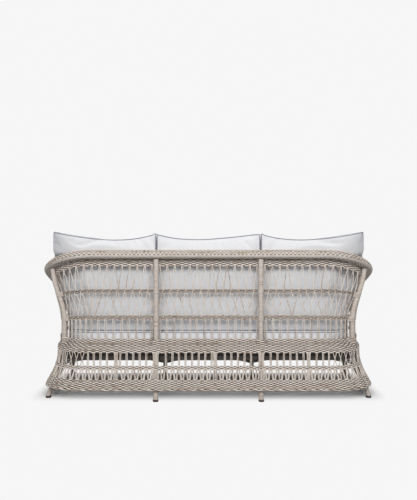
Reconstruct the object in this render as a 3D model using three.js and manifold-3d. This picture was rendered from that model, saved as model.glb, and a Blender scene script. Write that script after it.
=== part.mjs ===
// Three-seat garden sofa: a wrapped pole frame with a rolled rim, an open net of stakes held by
// woven bands, a flared skirt, an arched front apron and six loose cushions.
// Lengths are millimetres. X runs along the sofa, -Y is the front, +Z is up, the floor is Z = 0.

import * as THREE from 'three';
import { mergeVertices } from 'three/addons/utils/BufferGeometryUtils.js';
import Module from 'manifold-3d';

const { clamp, lerp, smoothstep } = THREE.MathUtils;

// Overall sizes
const overallWidth = 2120;
const overallDepth = 830;
const backHeight = 903;
const armHeight = 663;
const fitGap = 0.3;

// Rolled rim and the tube inside it
const rollWidth = 84;
const rollHeight = 58;
const rollInset = 15;
const rimTubeDiameter = 25;
const endCapThickness = 8;
const armSetback = 15;

// Poles, front posts, bindings and feet
const poleDiameter = 30;
const postDiameter = 38;
const innerPoleX = 314;
const cornerPoleShare = 0.6;
const bindingWall = 3;
const bindingLap = 5;
const capDiameter = 34;
const capHeight = 12;

// Plan of the pole line
const waistInset = 134;
const cornerWidth = 236;
const cornerDepthLow = 260;
const cornerDepthTop = 300;
const cornerRun = 450;
const cornerPowerFoot = 2.9;
const cornerPowerLow = 2.3;
const cornerPowerTop = 2;
const frontCornerRadius = 40;
const armTuck = 40;
const armSpread = 84;
const armSpreadRun = 200;

// Splay of the legs and the skirt, measured on the floor
const sideSplay = 85;
const endSplay = 30;
const splayPower = 1.3;

// Heights of the woven bands
const bottomBandLow = 66;
const bottomBandHigh = 135;
const skirtBandLow = 186;
const skirtBandHigh = 213;
const waistLow = 285;
const waistHigh = 366;
const lowerNetShare = 0.678;
const middleNetShare = 0.5;
const middleBandDropShare = 0.25;
const upperBandDropShare = 0.5;
const middleBandHeight = 30;
const upperBandHeight = 24;
const collarHeight = 45;
const collarClearance = 16;
const apronHigh = 268;
const archRise = 48;

// Thickness of the woven pieces
const wallThickness = 16;
const skirtThickness = 16;
const skirtClearance = 1.5;
const waistOuterWall = 15;
const netThickness = 6;
const netEdgeGap = 0.6;

// Stakes of the nets
const netPitch = 46;
const netNodeHalf = 7;
const netNotch = 26;
const crossNotchShare = 0.2;
const barPitch = 92;
const barHalf = 6;
const barRail = 5;
const skirtPitch = 78;

// Seat frame and deck
const railWidth = 24;
const railHeight = 26;
const railTop = 262;
const deckThickness = 8;

// Cushions
const cushionSplit = 320;
const cushionGap = 4;
const seatTop = 404;
const seatCrown = 10;
const seatSideGap = 41;
const seatFrontSetback = 30;
const seatCornerRadius = 45;
const seatInnerRadius = 25;
const backCushionRise = 82;
const backCushionEar = 27;
const backCushionThickness = 185;
const backCushionCrown = 20;
const backCushionRearGap = 3;
const backCushionCornerRun = 190;
const backCushionSideInset = 74;
const backCushionSpread = 26;
const backCushionLean = 30;
const backCushionTopRun = 310;
const backCushionSpreadRise = 75;
const backCushionDraw = 8;

// Facet counts
const poleSides = 10;
const rollSides = 12;
const tubeSides = 8;
const cornerSteps = 10;
const sideSteps = 5;
const frontCornerSteps = 4;
const archSteps = 6;
const cushionColumns = 8;
const cushionRows = 7;
const roundSteps = 3;

// Places along the plan, counted from the middle of the back round to the middle of the front
const poleRadius = poleDiameter / 2;
const postRadius = postDiameter / 2;
const splayShare = (z) => smoothstep(Math.pow(Math.max((waistLow - z) / waistLow, 0), splayPower), 0, 1);
const skirtInner = poleRadius + skirtClearance;
const skirtOuter = skirtInner + skirtThickness;
const poleLine = overallDepth / 2 - skirtOuter - endSplay * splayShare(bottomBandLow);
const topHalf = overallWidth / 2 - rollWidth / 2 + rollInset;
const waistHalf = overallWidth / 2 - waistInset;
const armHalf = waistHalf + armSpread;
const straightHalf = waistHalf - cornerWidth;
const sideRun = 2 * poleLine - cornerDepthLow - frontCornerRadius;
const cornerEnd = straightHalf + cornerRun;
const sideEnd = cornerEnd + sideRun;
const frontCornerRun = frontCornerRadius * Math.PI / 2;
const frontCornerEnd = sideEnd + frontCornerRun;
const frontMiddle = frontCornerEnd + armHalf - frontCornerRadius;
const cornerPolePlace = straightHalf + cornerRun * cornerPoleShare;
const wallOuter = -(poleRadius + fitGap + bindingWall + fitGap);
const wallMiddle = wallOuter - wallThickness / 2;
const wallInner = wallOuter - wallThickness;
const waistOuter = poleRadius + waistOuterWall;
const postInset = frontCornerRadius - postRadius - fitGap;

// Heights that follow the rim
const rimDrop = (place) => {
  return (backHeight - armHeight) * smoothstep(Math.abs(place), straightHalf, sideEnd);
};
const rollMiddle = (place) => backHeight - rollHeight / 2 - rimDrop(place);
const wallTop = (place) => backHeight - rollHeight - rimDrop(place) - fitGap;
const collarLow = (place) => wallTop(place) - collarHeight;
const middleBandLow = lerp(waistHigh, collarLow(sideEnd) - middleBandHeight, lowerNetShare);
const middleBandHigh = middleBandLow + middleBandHeight;
const upperBandLow = lerp(middleBandHigh, collarLow(0) - upperBandHeight, middleNetShare);
const upperBandHigh = upperBandLow + upperBandHeight;

// The bands of the wall sink a little where the rim comes down
const sinking = (z, dropShare) => (place) => z - dropShare * rimDrop(place);
const middleLowAt = sinking(middleBandLow, middleBandDropShare);
const middleHighAt = sinking(middleBandHigh, middleBandDropShare);
const upperLowAt = sinking(upperBandLow, upperBandDropShare);
const upperHighAt = sinking(upperBandHigh, upperBandDropShare);
const upperBandEnd = findUpperBandEnd();

// The upper band ends where the collar comes down to it
function findUpperBandEnd() {
  let low = straightHalf;
  let high = sideEnd;
  while (high - low > fitGap) {
    const middle = (low + high) / 2;
    if (collarLow(middle) > upperHighAt(middle) + collarClearance) low = middle;
    else high = middle;
  }
  return low;
}

// The straight line that a band's edge follows between its stations
function edgeLine(height, end = sideEnd) {
  const places = stationsTo(end);
  return (place) => {
    const run = clamp(Math.abs(place), 0, end);
    const next = Math.max(1, places.findIndex((station) => station >= run));
    const [from, to] = [places[next - 1], places[next]];
    return lerp(height(from), height(to), (run - from) / (to - from));
  };
}

// The arms spread towards the front: from the corner pole on above the waist, later in the skirt
function spreadAt(run, z) {
  const above = smoothstep(z, waistLow, waistHigh);
  const start = lerp(cornerEnd, cornerPolePlace, above);
  const end = lerp(sideEnd, cornerEnd + armSpreadRun, above);
  return armSpread * (1 - splayShare(z)) * smoothstep(run, start, end);
}

// Half width, rear, front and corner shape of the pole line at a place and height
function planAt(place, z) {
  const run = Math.abs(place);
  const splay = splayShare(z);
  const flareLow = lerp(middleBandHigh, waistHigh, smoothstep(run, straightHalf, sideEnd));
  const flare = smoothstep(z, flareLow, wallTop(run));
  const tuck = armTuck * smoothstep(run, cornerEnd, sideEnd);
  const lowHalf = waistHalf + spreadAt(run, z);
  const lowPower = lerp(cornerPowerLow, cornerPowerFoot, splay);
  return {
    half: lerp(lowHalf, topHalf - tuck, flare) + sideSplay * splay,
    rear: poleLine + endSplay * splay,
    front: -poleLine - endSplay * splay,
    cornerDepth: lerp(cornerDepthLow, cornerDepthTop, flare),
    power: lerp(lowPower, cornerPowerTop, flare),
  };
}

// A point at a place round the sofa and a height, moved outwards from the pole line
function pointAt(place, z, out) {
  const run = Math.abs(place);
  const plan = planAt(place, z);
  const at = new THREE.Vector2(run, plan.rear);
  const outward = new THREE.Vector2(0, 1);
  if (run > frontCornerEnd) {
    const share = (run - frontCornerEnd) / (frontMiddle - frontCornerEnd);
    at.set((plan.half - frontCornerRadius) * (1 - share), plan.front);
    outward.set(0, -1);
  } else if (run > sideEnd) {
    const angle = (run - sideEnd) / frontCornerRadius;
    outward.set(Math.cos(angle), -Math.sin(angle));
    at.set(plan.half - frontCornerRadius, plan.front + frontCornerRadius);
    at.addScaledVector(outward, frontCornerRadius);
  } else if (run > cornerEnd) {
    const share = (run - cornerEnd) / sideRun;
    const start = plan.rear - plan.cornerDepth;
    at.set(plan.half, lerp(start, plan.front + frontCornerRadius, share));
    outward.set(1, 0);
  } else if (run > straightHalf) {
    const angle = (run - straightHalf) / cornerRun * Math.PI / 2;
    const width = plan.half - straightHalf;
    const sine = Math.sin(angle);
    const cosine = Math.cos(angle);
    const total = Math.pow(sine, plan.power) + Math.pow(cosine, plan.power);
    const reach = Math.pow(total, -1 / plan.power);
    at.set(straightHalf + width * reach * sine,
      plan.rear - plan.cornerDepth + plan.cornerDepth * reach * cosine);
    outward.set(Math.pow(reach * sine, plan.power - 1) / width,
      Math.pow(reach * cosine, plan.power - 1) / plan.cornerDepth).normalize();
  }
  at.addScaledVector(outward, out);
  return new THREE.Vector3(place < 0 ? -at.x : at.x, at.y, z);
}

// Stations from the middle of the back to an end, with more of them where the plan bends
function stationsTo(end) {
  const places = [0, straightHalf];
  for (let step = 1; step <= cornerSteps; step += 1) {
    places.push(straightHalf + cornerRun * step / cornerSteps);
  }
  for (let step = 1; step <= sideSteps; step += 1) {
    places.push(cornerEnd + sideRun * step / sideSteps);
  }
  const kept = places.filter((place) => place < end - fitGap);
  kept.push(end);
  return kept;
}

// The same stations on both sides, from the left end round the back to the right end
function stationsAcross(end) {
  const right = stationsTo(end);
  const left = right.slice(1).map((place) => -place).reverse();
  return left.concat(right);
}

// Closed solids from vertices and faces

// Turns the faces outwards when the volume comes out negative
function closedGeometry(points, triangles) {
  let volume = 0;
  for (const [a, b, c] of triangles) {
    volume += points[a].dot(new THREE.Vector3().crossVectors(points[b], points[c]));
  }
  const faces = volume < 0 ? triangles.map(([a, b, c]) => [a, c, b]) : triangles;
  const geometry = new THREE.BufferGeometry();
  geometry.setFromPoints(points);
  geometry.setIndex(faces.flat());
  return geometry;
}

// A solid through rings of points; the ends are closed by flat fans
function loftSolid(rings) {
  const count = rings[0].length;
  const points = rings.flat();
  const triangles = [];
  for (let ring = 0; ring + 1 < rings.length; ring += 1) {
    for (let side = 0; side < count; side += 1) {
      const next = (side + 1) % count;
      const a = ring * count + side;
      const b = ring * count + next;
      triangles.push([a, b, b + count], [a, b + count, a + count]);
    }
  }
  const last = (rings.length - 1) * count;
  for (let side = 1; side + 1 < count; side += 1) {
    triangles.push([0, side + 1, side]);
    triangles.push([last, last + side, last + side + 1]);
  }
  return closedGeometry(points, triangles);
}

// A sleeve between outer and inner rings, open through its whole length
function sleeveSolid(outerRings, innerRings) {
  const triangles = [];
  const skins = [outerRings, innerRings];
  const firstPoint = [0, outerRings.flat().length];
  skins.forEach((rings, skin) => {
    const count = rings[0].length;
    for (let ring = 0; ring + 1 < rings.length; ring += 1) {
      for (let side = 0; side < count; side += 1) {
        const next = (side + 1) % count;
        const a = firstPoint[skin] + ring * count + side;
        const b = firstPoint[skin] + ring * count + next;
        const quad = [[a, b, b + count], [a, b + count, a + count]];
        triangles.push(...(skin === 0 ? quad : quad.map(([i, j, k]) => [i, k, j])));
      }
    }
  });
  const lastRing = outerRings.length - 1;
  for (const ring of [0, lastRing]) {
    const outer = ringIndices(outerRings, ring, firstPoint[0]);
    const inner = ringIndices(innerRings, ring, firstPoint[1]);
    const faces = annulusFaces(outer, inner);
    triangles.push(...(ring === 0 ? faces : faces.map(([i, j, k]) => [i, k, j])));
  }
  return closedGeometry([...outerRings.flat(), ...innerRings.flat()], triangles);
}

function ringIndices(rings, ring, first) {
  const count = rings[ring].length;
  return rings[ring].map((_, side) => first + ring * count + side);
}

// Flat ring between two loops that start at the same angle
function annulusFaces(outer, inner) {
  const faces = [];
  let i = 0;
  let j = 0;
  while (i < outer.length || j < inner.length) {
    const a = outer[i % outer.length];
    const b = inner[j % inner.length];
    if ((i + 1) / outer.length <= (j + 1) / inner.length) {
      faces.push([a, b, outer[(i + 1) % outer.length]]);
      i += 1;
    } else {
      faces.push([a, b, inner[(j + 1) % inner.length]]);
      j += 1;
    }
  }
  return faces;
}

// A sheet of flat cells given by place and height, made a solid between two offsets
function sheetSolid(corners, cells, inner, outer) {
  const outerSkin = corners.map(([place, z]) => pointAt(place, z, outer));
  const innerSkin = corners.map(([place, z]) => pointAt(place, z, inner));
  const triangles = [];
  const edges = new Map();
  for (const cell of cells) {
    for (let corner = 1; corner + 1 < cell.length; corner += 1) {
      const [a, b, c] = [cell[0], cell[corner], cell[corner + 1]];
      triangles.push([a, b, c]);
      triangles.push([a + corners.length, c + corners.length, b + corners.length]);
    }
    cell.forEach((from, corner) => {
      const to = cell[(corner + 1) % cell.length];
      const facing = `${to},${from}`;
      if (edges.has(facing)) edges.delete(facing);
      else edges.set(`${from},${to}`, [from, to]);
    });
  }
  for (const [from, to] of edges.values()) {
    triangles.push([from, from + corners.length, to + corners.length]);
    triangles.push([from, to + corners.length, to]);
  }
  return closedGeometry([...outerSkin, ...innerSkin], triangles);
}

// Woven bands

// A band between two heights and two offsets; the heights may follow the place
function bandSolid(places, low, high, inner, outer) {
  const rings = places.map((place) => [
    pointAt(place, low(place), outer),
    pointAt(place, high(place), outer),
    pointAt(place, high(place), inner),
    pointAt(place, low(place), inner),
  ]);
  return loftSolid(rings);
}

const level = (z) => () => z;

function wallBand(end, low, high) {
  return bandSolid(stationsAcross(end), low, high, wallInner, wallOuter);
}

function skirtBand(low, high) {
  return bandSolid(stationsAcross(sideEnd - fitGap), level(low), level(high), skirtInner, skirtOuter);
}

// Round pole whose middle is found at each level
function roundColumn(middleAt, levels, radius, sides = poleSides) {
  const rings = levels.map((z) => circlePoints(middleAt(z), radius, sides));
  return loftSolid(rings);
}

function circlePoints(middle, radius, sides) {
  return Array.from({ length: sides }, (_, side) => {
    const angle = 2 * Math.PI * side / sides;
    return new THREE.Vector3(
      middle.x + radius * Math.cos(angle), middle.y + radius * Math.sin(angle), middle.z);
  });
}

// The waist band holds the rear poles, which pass through it
async function waistBand() {
  const band = bandSolid(stationsAcross(sideEnd), level(waistLow), level(waistHigh),
    wallInner, waistOuter);
  const wasm = await Module();
  wasm.setup();
  const solidOf = (geometry) => {
    const merged = mergeVertices(geometry);
    const vertProperties = Float32Array.from(merged.attributes.position.array);
    const triVerts = Uint32Array.from(merged.index.array);
    return new wasm.Manifold(new wasm.Mesh({ numProp: 3, vertProperties, triVerts }));
  };
  let solid = solidOf(band);
  for (const place of rearPolePlaces) {
    const levels = [waistLow - poleRadius, waistHigh + poleRadius];
    const middleAt = (z) => pointAt(place, waistHigh, 0).setZ(z);
    const hole = roundColumn(middleAt, levels, poleRadius + fitGap);
    solid = solid.subtract(solidOf(hole));
  }
  const mesh = solid.getMesh();
  const geometry = new THREE.BufferGeometry();
  geometry.setAttribute('position', new THREE.BufferAttribute(mesh.vertProperties, 3));
  geometry.setIndex(new THREE.BufferAttribute(mesh.triVerts, 1));
  return geometry;
}

// Arched apron round the front, from one side end to the other
function frontApron() {
  const places = [sideEnd + fitGap];
  for (let step = 1; step <= frontCornerSteps; step += 1) {
    places.push(sideEnd + frontCornerRun * step / frontCornerSteps);
  }
  const legPlace = frontMiddle - innerPoleX;
  for (let step = 1; step <= 2 * archSteps; step += 1) {
    places.push(lerp(frontCornerEnd, legPlace, step / (2 * archSteps)));
  }
  for (let step = 1; step <= archSteps; step += 1) {
    places.push(lerp(legPlace, frontMiddle, step / archSteps));
  }
  const right = places.slice(0, -1).reverse();
  const left = places.map((place) => -place);
  const low = (place) => {
    const run = Math.abs(place);
    const share = run < legPlace
      ? (run - sideEnd) / (legPlace - sideEnd)
      : (run - legPlace) / (2 * (frontMiddle - legPlace));
    return bottomBandLow + archRise * Math.sin(Math.PI * clamp(share, 0, 1));
  };
  return bandSolid([...left, ...right], low, level(apronHigh), skirtInner, skirtOuter);
}

// Nets of stakes

// The even spacing of a net's stakes between two places
function netSteps(from, to, pitch) {
  const count = Math.max(1, Math.round(Math.abs(to - from) / pitch));
  const step = (to - from) / count;
  const places = Array.from({ length: count }, (_, index) => from + step * (index + 0.5));
  return { step, places, side: Math.sign(step) };
}

// Three corners of the wedge where a pair of stakes meets a band's edge
function edgeWedge(corners, place, half, edge, depth) {
  const clearance = netEdgeGap * Math.sign(depth);
  const add = (at, z) => corners.push([at, z]) - 1;
  return [
    add(place - half, edge(place - half) + clearance),
    add(place + half, edge(place + half) + clearance),
    add(place, edge(place) + depth),
  ];
}

function netSolid(corners, cells, middleOut) {
  return sheetSolid(corners, cells, middleOut - netThickness / 2, middleOut + netThickness / 2);
}

// Paired stakes that part at the top nodes and meet again half a pitch on at the bottom nodes
function zigzagNet(from, to, pitch, low, high, middleOut) {
  const { step, places, side } = netSteps(from, to, pitch);
  const half = side * netNodeHalf;
  const corners = [];
  const cells = [];
  let valley = null;
  places.forEach((place, index) => {
    const notch = Math.min(netNotch, (high(place) - low(place)) / 2);
    const peak = edgeWedge(corners, place, half, high, -notch);
    cells.push([peak[0], peak[2], peak[1]]);
    if (valley) cells.push([valley[2], valley[1], peak[2], peak[0]]);
    if (index + 1 === places.length) return;
    valley = edgeWedge(corners, place + step / 2, half, low, notch);
    cells.push([peak[1], peak[2], valley[0], valley[2]]);
    cells.push([valley[2], valley[0], valley[1]]);
  });
  return netSolid(corners, cells, middleOut);
}

// Paired stakes that cross half way between the two bands
function crossedNet(from, to, pitch, low, high, middleOut) {
  const { step, places, side } = netSteps(from, to, pitch);
  const half = side * netNodeHalf;
  const corners = [];
  const cells = [];
  const halfWay = (place) => (low(place) + high(place)) / 2;
  let last = null;
  for (const place of places) {
    const notch = Math.min(netNotch, (high(place) - low(place)) * crossNotchShare);
    const crossing = [[-half, 0], [half, 0], [0, notch], [0, -notch]].map(([across, up]) => {
      return corners.push([place + across, halfWay(place) + up]) - 1;
    });
    if (last) {
      const top = edgeWedge(corners, place - step / 2, half, high, -notch);
      const bottom = edgeWedge(corners, place - step / 2, half, low, notch);
      cells.push([top[0], top[2], top[1]], [bottom[0], bottom[1], bottom[2]]);
      cells.push([last[2], last[1], top[2], top[0]]);
      cells.push([top[1], top[2], crossing[0], crossing[2]]);
      cells.push([last[1], last[3], bottom[0], bottom[2]]);
      cells.push([bottom[2], bottom[1], crossing[3], crossing[0]]);
    }
    cells.push([crossing[2], crossing[0], crossing[3], crossing[1]]);
    last = crossing;
  }
  return netSolid(corners, cells, middleOut);
}

// Upright paired stakes between two thin rails that lie in the edges of the bands
function uprightNet(from, to, pitch, low, high, middleOut) {
  const { places, side } = netSteps(from, to, pitch);
  const corners = [];
  const cells = [];
  const column = (place) => [high(place) - netEdgeGap, high(place) - netEdgeGap - barRail,
    low(place) + fitGap + barRail, low(place) + fitGap].map((z) => corners.push([place, z]) - 1);
  let last = null;
  for (const place of places) {
    const near = column(place - side * barHalf);
    const far = column(place + side * barHalf);
    if (last) {
      cells.push([last[0], last[1], near[1], near[0]]);
      cells.push([last[2], last[3], near[3], near[2]]);
    }
    for (let row = 0; row < 3; row += 1) {
      cells.push([near[row], near[row + 1], far[row + 1], far[row]]);
    }
    last = far;
  }
  return netSolid(corners, cells, middleOut);
}

// Rim

function rimPoint(place, z, out) {
  const run = Math.min(Math.abs(place), sideEnd);
  const at = pointAt(place < 0 ? -run : run, z, out);
  at.y -= Math.abs(place) - run;
  return at;
}

const armEnd = sideEnd + pointAt(sideEnd, backHeight, 0).y + overallDepth / 2
  - armSetback - endCapThickness - fitGap;

// Upright oval of the rim at a place
function rimRing(place, width, height, sides) {
  return Array.from({ length: sides }, (_, side) => {
    const angle = 2 * Math.PI * side / sides;
    const z = rollMiddle(place) + height / 2 * Math.sin(angle);
    const at = rimPoint(place, rollMiddle(place), -rollInset + width / 2 * Math.cos(angle));
    return at.setZ(z);
  });
}

function rimStations() {
  return [-armEnd, ...stationsAcross(sideEnd), armEnd];
}

function rimRoll() {
  const bore = rimTubeDiameter + 2 * fitGap;
  const outer = rimStations().map((place) => rimRing(place, rollWidth, rollHeight, rollSides));
  const inner = rimStations().map((place) => rimRing(place, bore, bore, tubeSides));
  return sleeveSolid(outer, inner);
}

function rimTube() {
  const rings = rimStations().map((place) => {
    return rimRing(place, rimTubeDiameter, rimTubeDiameter, tubeSides);
  });
  return loftSolid(rings);
}

function rimEndCap(side) {
  const ring = (extra) => rimRing(side * (armEnd + extra), rollWidth, rollHeight, rollSides);
  return loftSolid([ring(fitGap), ring(fitGap + endCapThickness)]);
}

// Poles and feet

const rearPolePlaces = [-cornerPolePlace, -innerPoleX, innerPoleX, cornerPolePlace];
const legLevelShares = [0.2, 0.4, 0.6, 0.8];
const flareLevelShares = [0.25, 0.5, 0.75];
const legFoot = capHeight + fitGap;
const legLevels = [legFoot, ...legLevelShares.map((share) => lerp(legFoot, waistLow, share)), waistLow];

// Ends of the bindings at a pole, at the middle band and at the upper band
function bindingLevels(place) {
  return [
    [middleLowAt(place) - bindingLap, middleHighAt(place) + bindingLap],
    [upperLowAt(place) - bindingLap, upperHighAt(place) + bindingLap],
  ];
}

// Levels of a rear pole: closer where the wall flares, and at the ends of each binding
function rearPoleLevels(place) {
  const top = Math.min(wallTop(place - poleRadius), wallTop(place + poleRadius));
  const [[middleLow, middleHigh], [upperLow, upperHigh]] = bindingLevels(place);
  if (Math.abs(place) < straightHalf) return [...legLevels, top];
  const between = flareLevelShares.map((share) => lerp(middleHigh, upperLow, share));
  const above = flareLevelShares.map((share) => lerp(upperHigh, top, share));
  return [...legLevels, waistHigh, middleLow, middleHigh, ...between, upperLow, upperHigh,
    ...above, top];
}

const rearPoleMiddle = (place) => (z) => pointAt(place, z, 0);

function rearPole(place) {
  return roundColumn(rearPoleMiddle(place), rearPoleLevels(place), poleRadius);
}

// Wrapped sleeve where a band is tied to a pole
function poleBinding(place, levels) {
  const rings = (radius) => levels.map((z) => {
    return circlePoints(rearPoleMiddle(place)(z), radius, poleSides);
  });
  const inner = poleRadius + fitGap;
  return sleeveSolid(rings(inner + bindingWall), rings(inner));
}

// Front posts stand inside the front corners and carry the arm ends
const frontPostMiddle = (side) => (z) => {
  const plan = planAt(sideEnd, z);
  return new THREE.Vector3(side * (plan.half - postInset), plan.front + postInset, z);
};

function frontPost(side) {
  const top = wallTop(sideEnd);
  const above = flareLevelShares.map((share) => lerp(waistHigh, top, share));
  return roundColumn(frontPostMiddle(side), [...legLevels, waistHigh, ...above, top], postRadius);
}

const frontLegMiddle = (side) => (z) => {
  return new THREE.Vector3(side * innerPoleX, planAt(frontMiddle, z).front + postInset, z);
};

function frontLeg(side) {
  const top = railTop - railHeight - fitGap;
  const levels = [legFoot, ...legLevelShares.map((share) => lerp(legFoot, top, share)), top];
  return roundColumn(frontLegMiddle(side), levels, poleRadius);
}

function footCap(middle, diameter) {
  const geometry = new THREE.CylinderGeometry(diameter / 2, diameter / 2, capHeight, rollSides);
  geometry.rotateX(Math.PI / 2);
  geometry.translate(middle.x, middle.y, capHeight / 2);
  return geometry;
}

// Seat frame

const railMiddle = railTop - railHeight / 2;
const railOut = -(poleRadius + fitGap + railWidth / 2);

function seatFrameTube() {
  return bandSolid(stationsAcross(sideEnd), level(railTop - railHeight), level(railTop),
    railOut - railWidth / 2, railOut + railWidth / 2);
}

function frontRail() {
  const post = frontPostMiddle(1)(railMiddle);
  const flare = planAt(sideEnd, railTop - railHeight).half - planAt(sideEnd, railTop).half;
  const length = 2 * (post.x - postRadius - fitGap - flare);
  const geometry = new THREE.BoxGeometry(length, railWidth, railHeight);
  geometry.translate(0, post.y, railMiddle);
  return geometry;
}

function crossRail(x) {
  const start = frontPostMiddle(1)(railMiddle).y + railWidth / 2 + fitGap;
  const end = pointAt(x, railTop, railOut - railWidth / 2 - fitGap).y;
  const geometry = new THREE.BoxGeometry(railWidth, end - start, railHeight);
  geometry.translate(x, (start + end) / 2, railMiddle);
  return geometry;
}

// Deck plate under the cushions, notched round the front posts
function seatDeck() {
  const bottom = railTop + fitGap;
  const edge = stationsAcross(sideEnd).map((place) => {
    return pointAt(place, bottom, -poleRadius - fitGap - fitGap);
  });
  const post = frontPostMiddle(1)(bottom);
  const notchX = post.x - postRadius - fitGap - fitGap;
  const frontY = post.y - railWidth / 2;
  const outline = [
    ...edge.map((point) => new THREE.Vector2(point.x, point.y)),
    new THREE.Vector2(notchX, edge[0].y),
    new THREE.Vector2(notchX, frontY),
    new THREE.Vector2(-notchX, frontY),
    new THREE.Vector2(-notchX, edge[0].y),
  ];
  const geometry = new THREE.ExtrudeGeometry(new THREE.Shape(outline),
    { depth: deckThickness, bevelEnabled: false });
  geometry.translate(0, 0, bottom);
  return geometry;
}

// Seat cushions

const seatBottom = railTop + fitGap + deckThickness + fitGap;
const seatEdge = seatTop - seatCrown;
const seatFront = -overallDepth / 2 + seatFrontSetback;
const seatRear = poleLine - seatSideGap;
const seatOuterX = armHalf - seatSideGap;

// Round corner of an outline, from one direction to the next
function roundCorner(x, y, radius, startTurn) {
  return Array.from({ length: roundSteps + 1 }, (_, step) => {
    const angle = (startTurn + step / roundSteps) * Math.PI / 2;
    return new THREE.Vector2(x + radius * Math.cos(angle), y + radius * Math.sin(angle));
  });
}

function middleSeatOutline() {
  const half = cushionSplit - cushionGap / 2;
  const r = seatInnerRadius;
  return [
    ...roundCorner(half - r, seatRear - r, r, 0),
    ...roundCorner(-half + r, seatRear - r, r, 1),
    ...roundCorner(-half + r, seatFront + r, r, 2),
    ...roundCorner(half - r, seatFront + r, r, 3),
  ];
}

// The outer seat cushion follows the rear corner and the side of the waist band
function outerSeatOutline(side) {
  const innerX = cushionSplit + cushionGap / 2;
  const r = seatInnerRadius;
  const wallSide = stationsTo(sideEnd).filter((place) => place >= straightHalf).map((place) => {
    const at = pointAt(place, waistLow, -seatSideGap);
    return new THREE.Vector2(at.x, at.y);
  });
  const outline = [
    ...wallSide.reverse(),
    ...roundCorner(innerX + r, seatRear - r, r, 1),
    ...roundCorner(innerX + r, seatFront + r, r, 2),
    ...roundCorner(seatOuterX - seatCornerRadius, seatFront + seatCornerRadius, seatCornerRadius, 3),
  ];
  return outline.map((point) => new THREE.Vector2(side * point.x, point.y));
}

// Height share and width share of each ring, from the flat bottom over the sides to the crown
const seatHeightShares = [0, 0.12, 0.5, 0.88, 1];
const seatWidthShares = [0.985, 1, 0.992, 1, 0.985];
const crownHeightShares = [0.7, 1];
const crownWidthShares = [0.93, 0.8];

function seatCushion(outline) {
  const centre = new THREE.Vector2();
  outline.forEach((point) => centre.addScaledVector(point, 1 / outline.length));
  const ring = (widthShare, z) => outline.map((point) => new THREE.Vector3(
    lerp(centre.x, point.x, widthShare), lerp(centre.y, point.y, widthShare), z));
  const sides = seatHeightShares.map((share, index) => {
    return ring(seatWidthShares[index], lerp(seatBottom, seatEdge, share));
  });
  const crown = crownHeightShares.map((share, index) => {
    return ring(crownWidthShares[index], lerp(seatEdge, seatTop, share));
  });
  return loftSolid([...sides, ...crown]);
}

// Back cushions

const backCushionTop = backHeight + backCushionRise;
const backCushionRearEnd = straightHalf + backCushionCornerRun;
const backCushionTopEnd = straightHalf + backCushionTopRun;
const backSpreadLow = backHeight - rimDrop(cornerPolePlace);
const fullFromShare = 0.13;
const backRearOut = -(rollInset + rollWidth / 2 + backCushionRearGap);
const backRearY = poleLine + backRearOut;
const backFrontY = backRearY - backCushionThickness;
const backBottom = seatTop + fitGap;

// The rear follows the inside of the rim and spreads over it above; the front is flat but for its crown
function backCushionPoint(side, across, up, front) {
  const innerX = side === 0 ? -cushionSplit + cushionGap / 2 : cushionSplit + cushionGap / 2;
  const fromMiddle = Math.abs(2 * across - 1);
  const top = backCushionTop + backCushionEar * fromMiddle * fromMiddle;
  const z = lerp(backBottom, top, up);
  const drawUp = Math.sin(Math.PI * lerp(fullFromShare, 1, up));
  const fullness = Math.sqrt(Math.max(0, Math.sin(Math.PI * across) * drawUp));
  const draw = backCushionCrown * (1 - fullness);
  const spread = smoothstep(z, backSpreadLow, backSpreadLow + backCushionSpreadRise);
  if (side === 0) {
    const x = lerp(innerX, -innerX, across);
    return new THREE.Vector3(x, front ? backFrontY + draw : backRearY - draw, z);
  }
  if (front) {
    const inset = backCushionSideInset - backCushionSpread * spread;
    const outerX = planAt(cornerEnd, z).half - inset;
    return new THREE.Vector3(side * lerp(innerX, outerX, across), backFrontY + draw, z);
  }
  const end = lerp(backCushionRearEnd, backCushionTopEnd, spread);
  const out = backRearOut + backCushionLean * spread * across * across;
  const rear = pointAt(lerp(innerX, end, across), backHeight, out - draw);
  return new THREE.Vector3(side * rear.x, rear.y, z);
}

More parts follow.
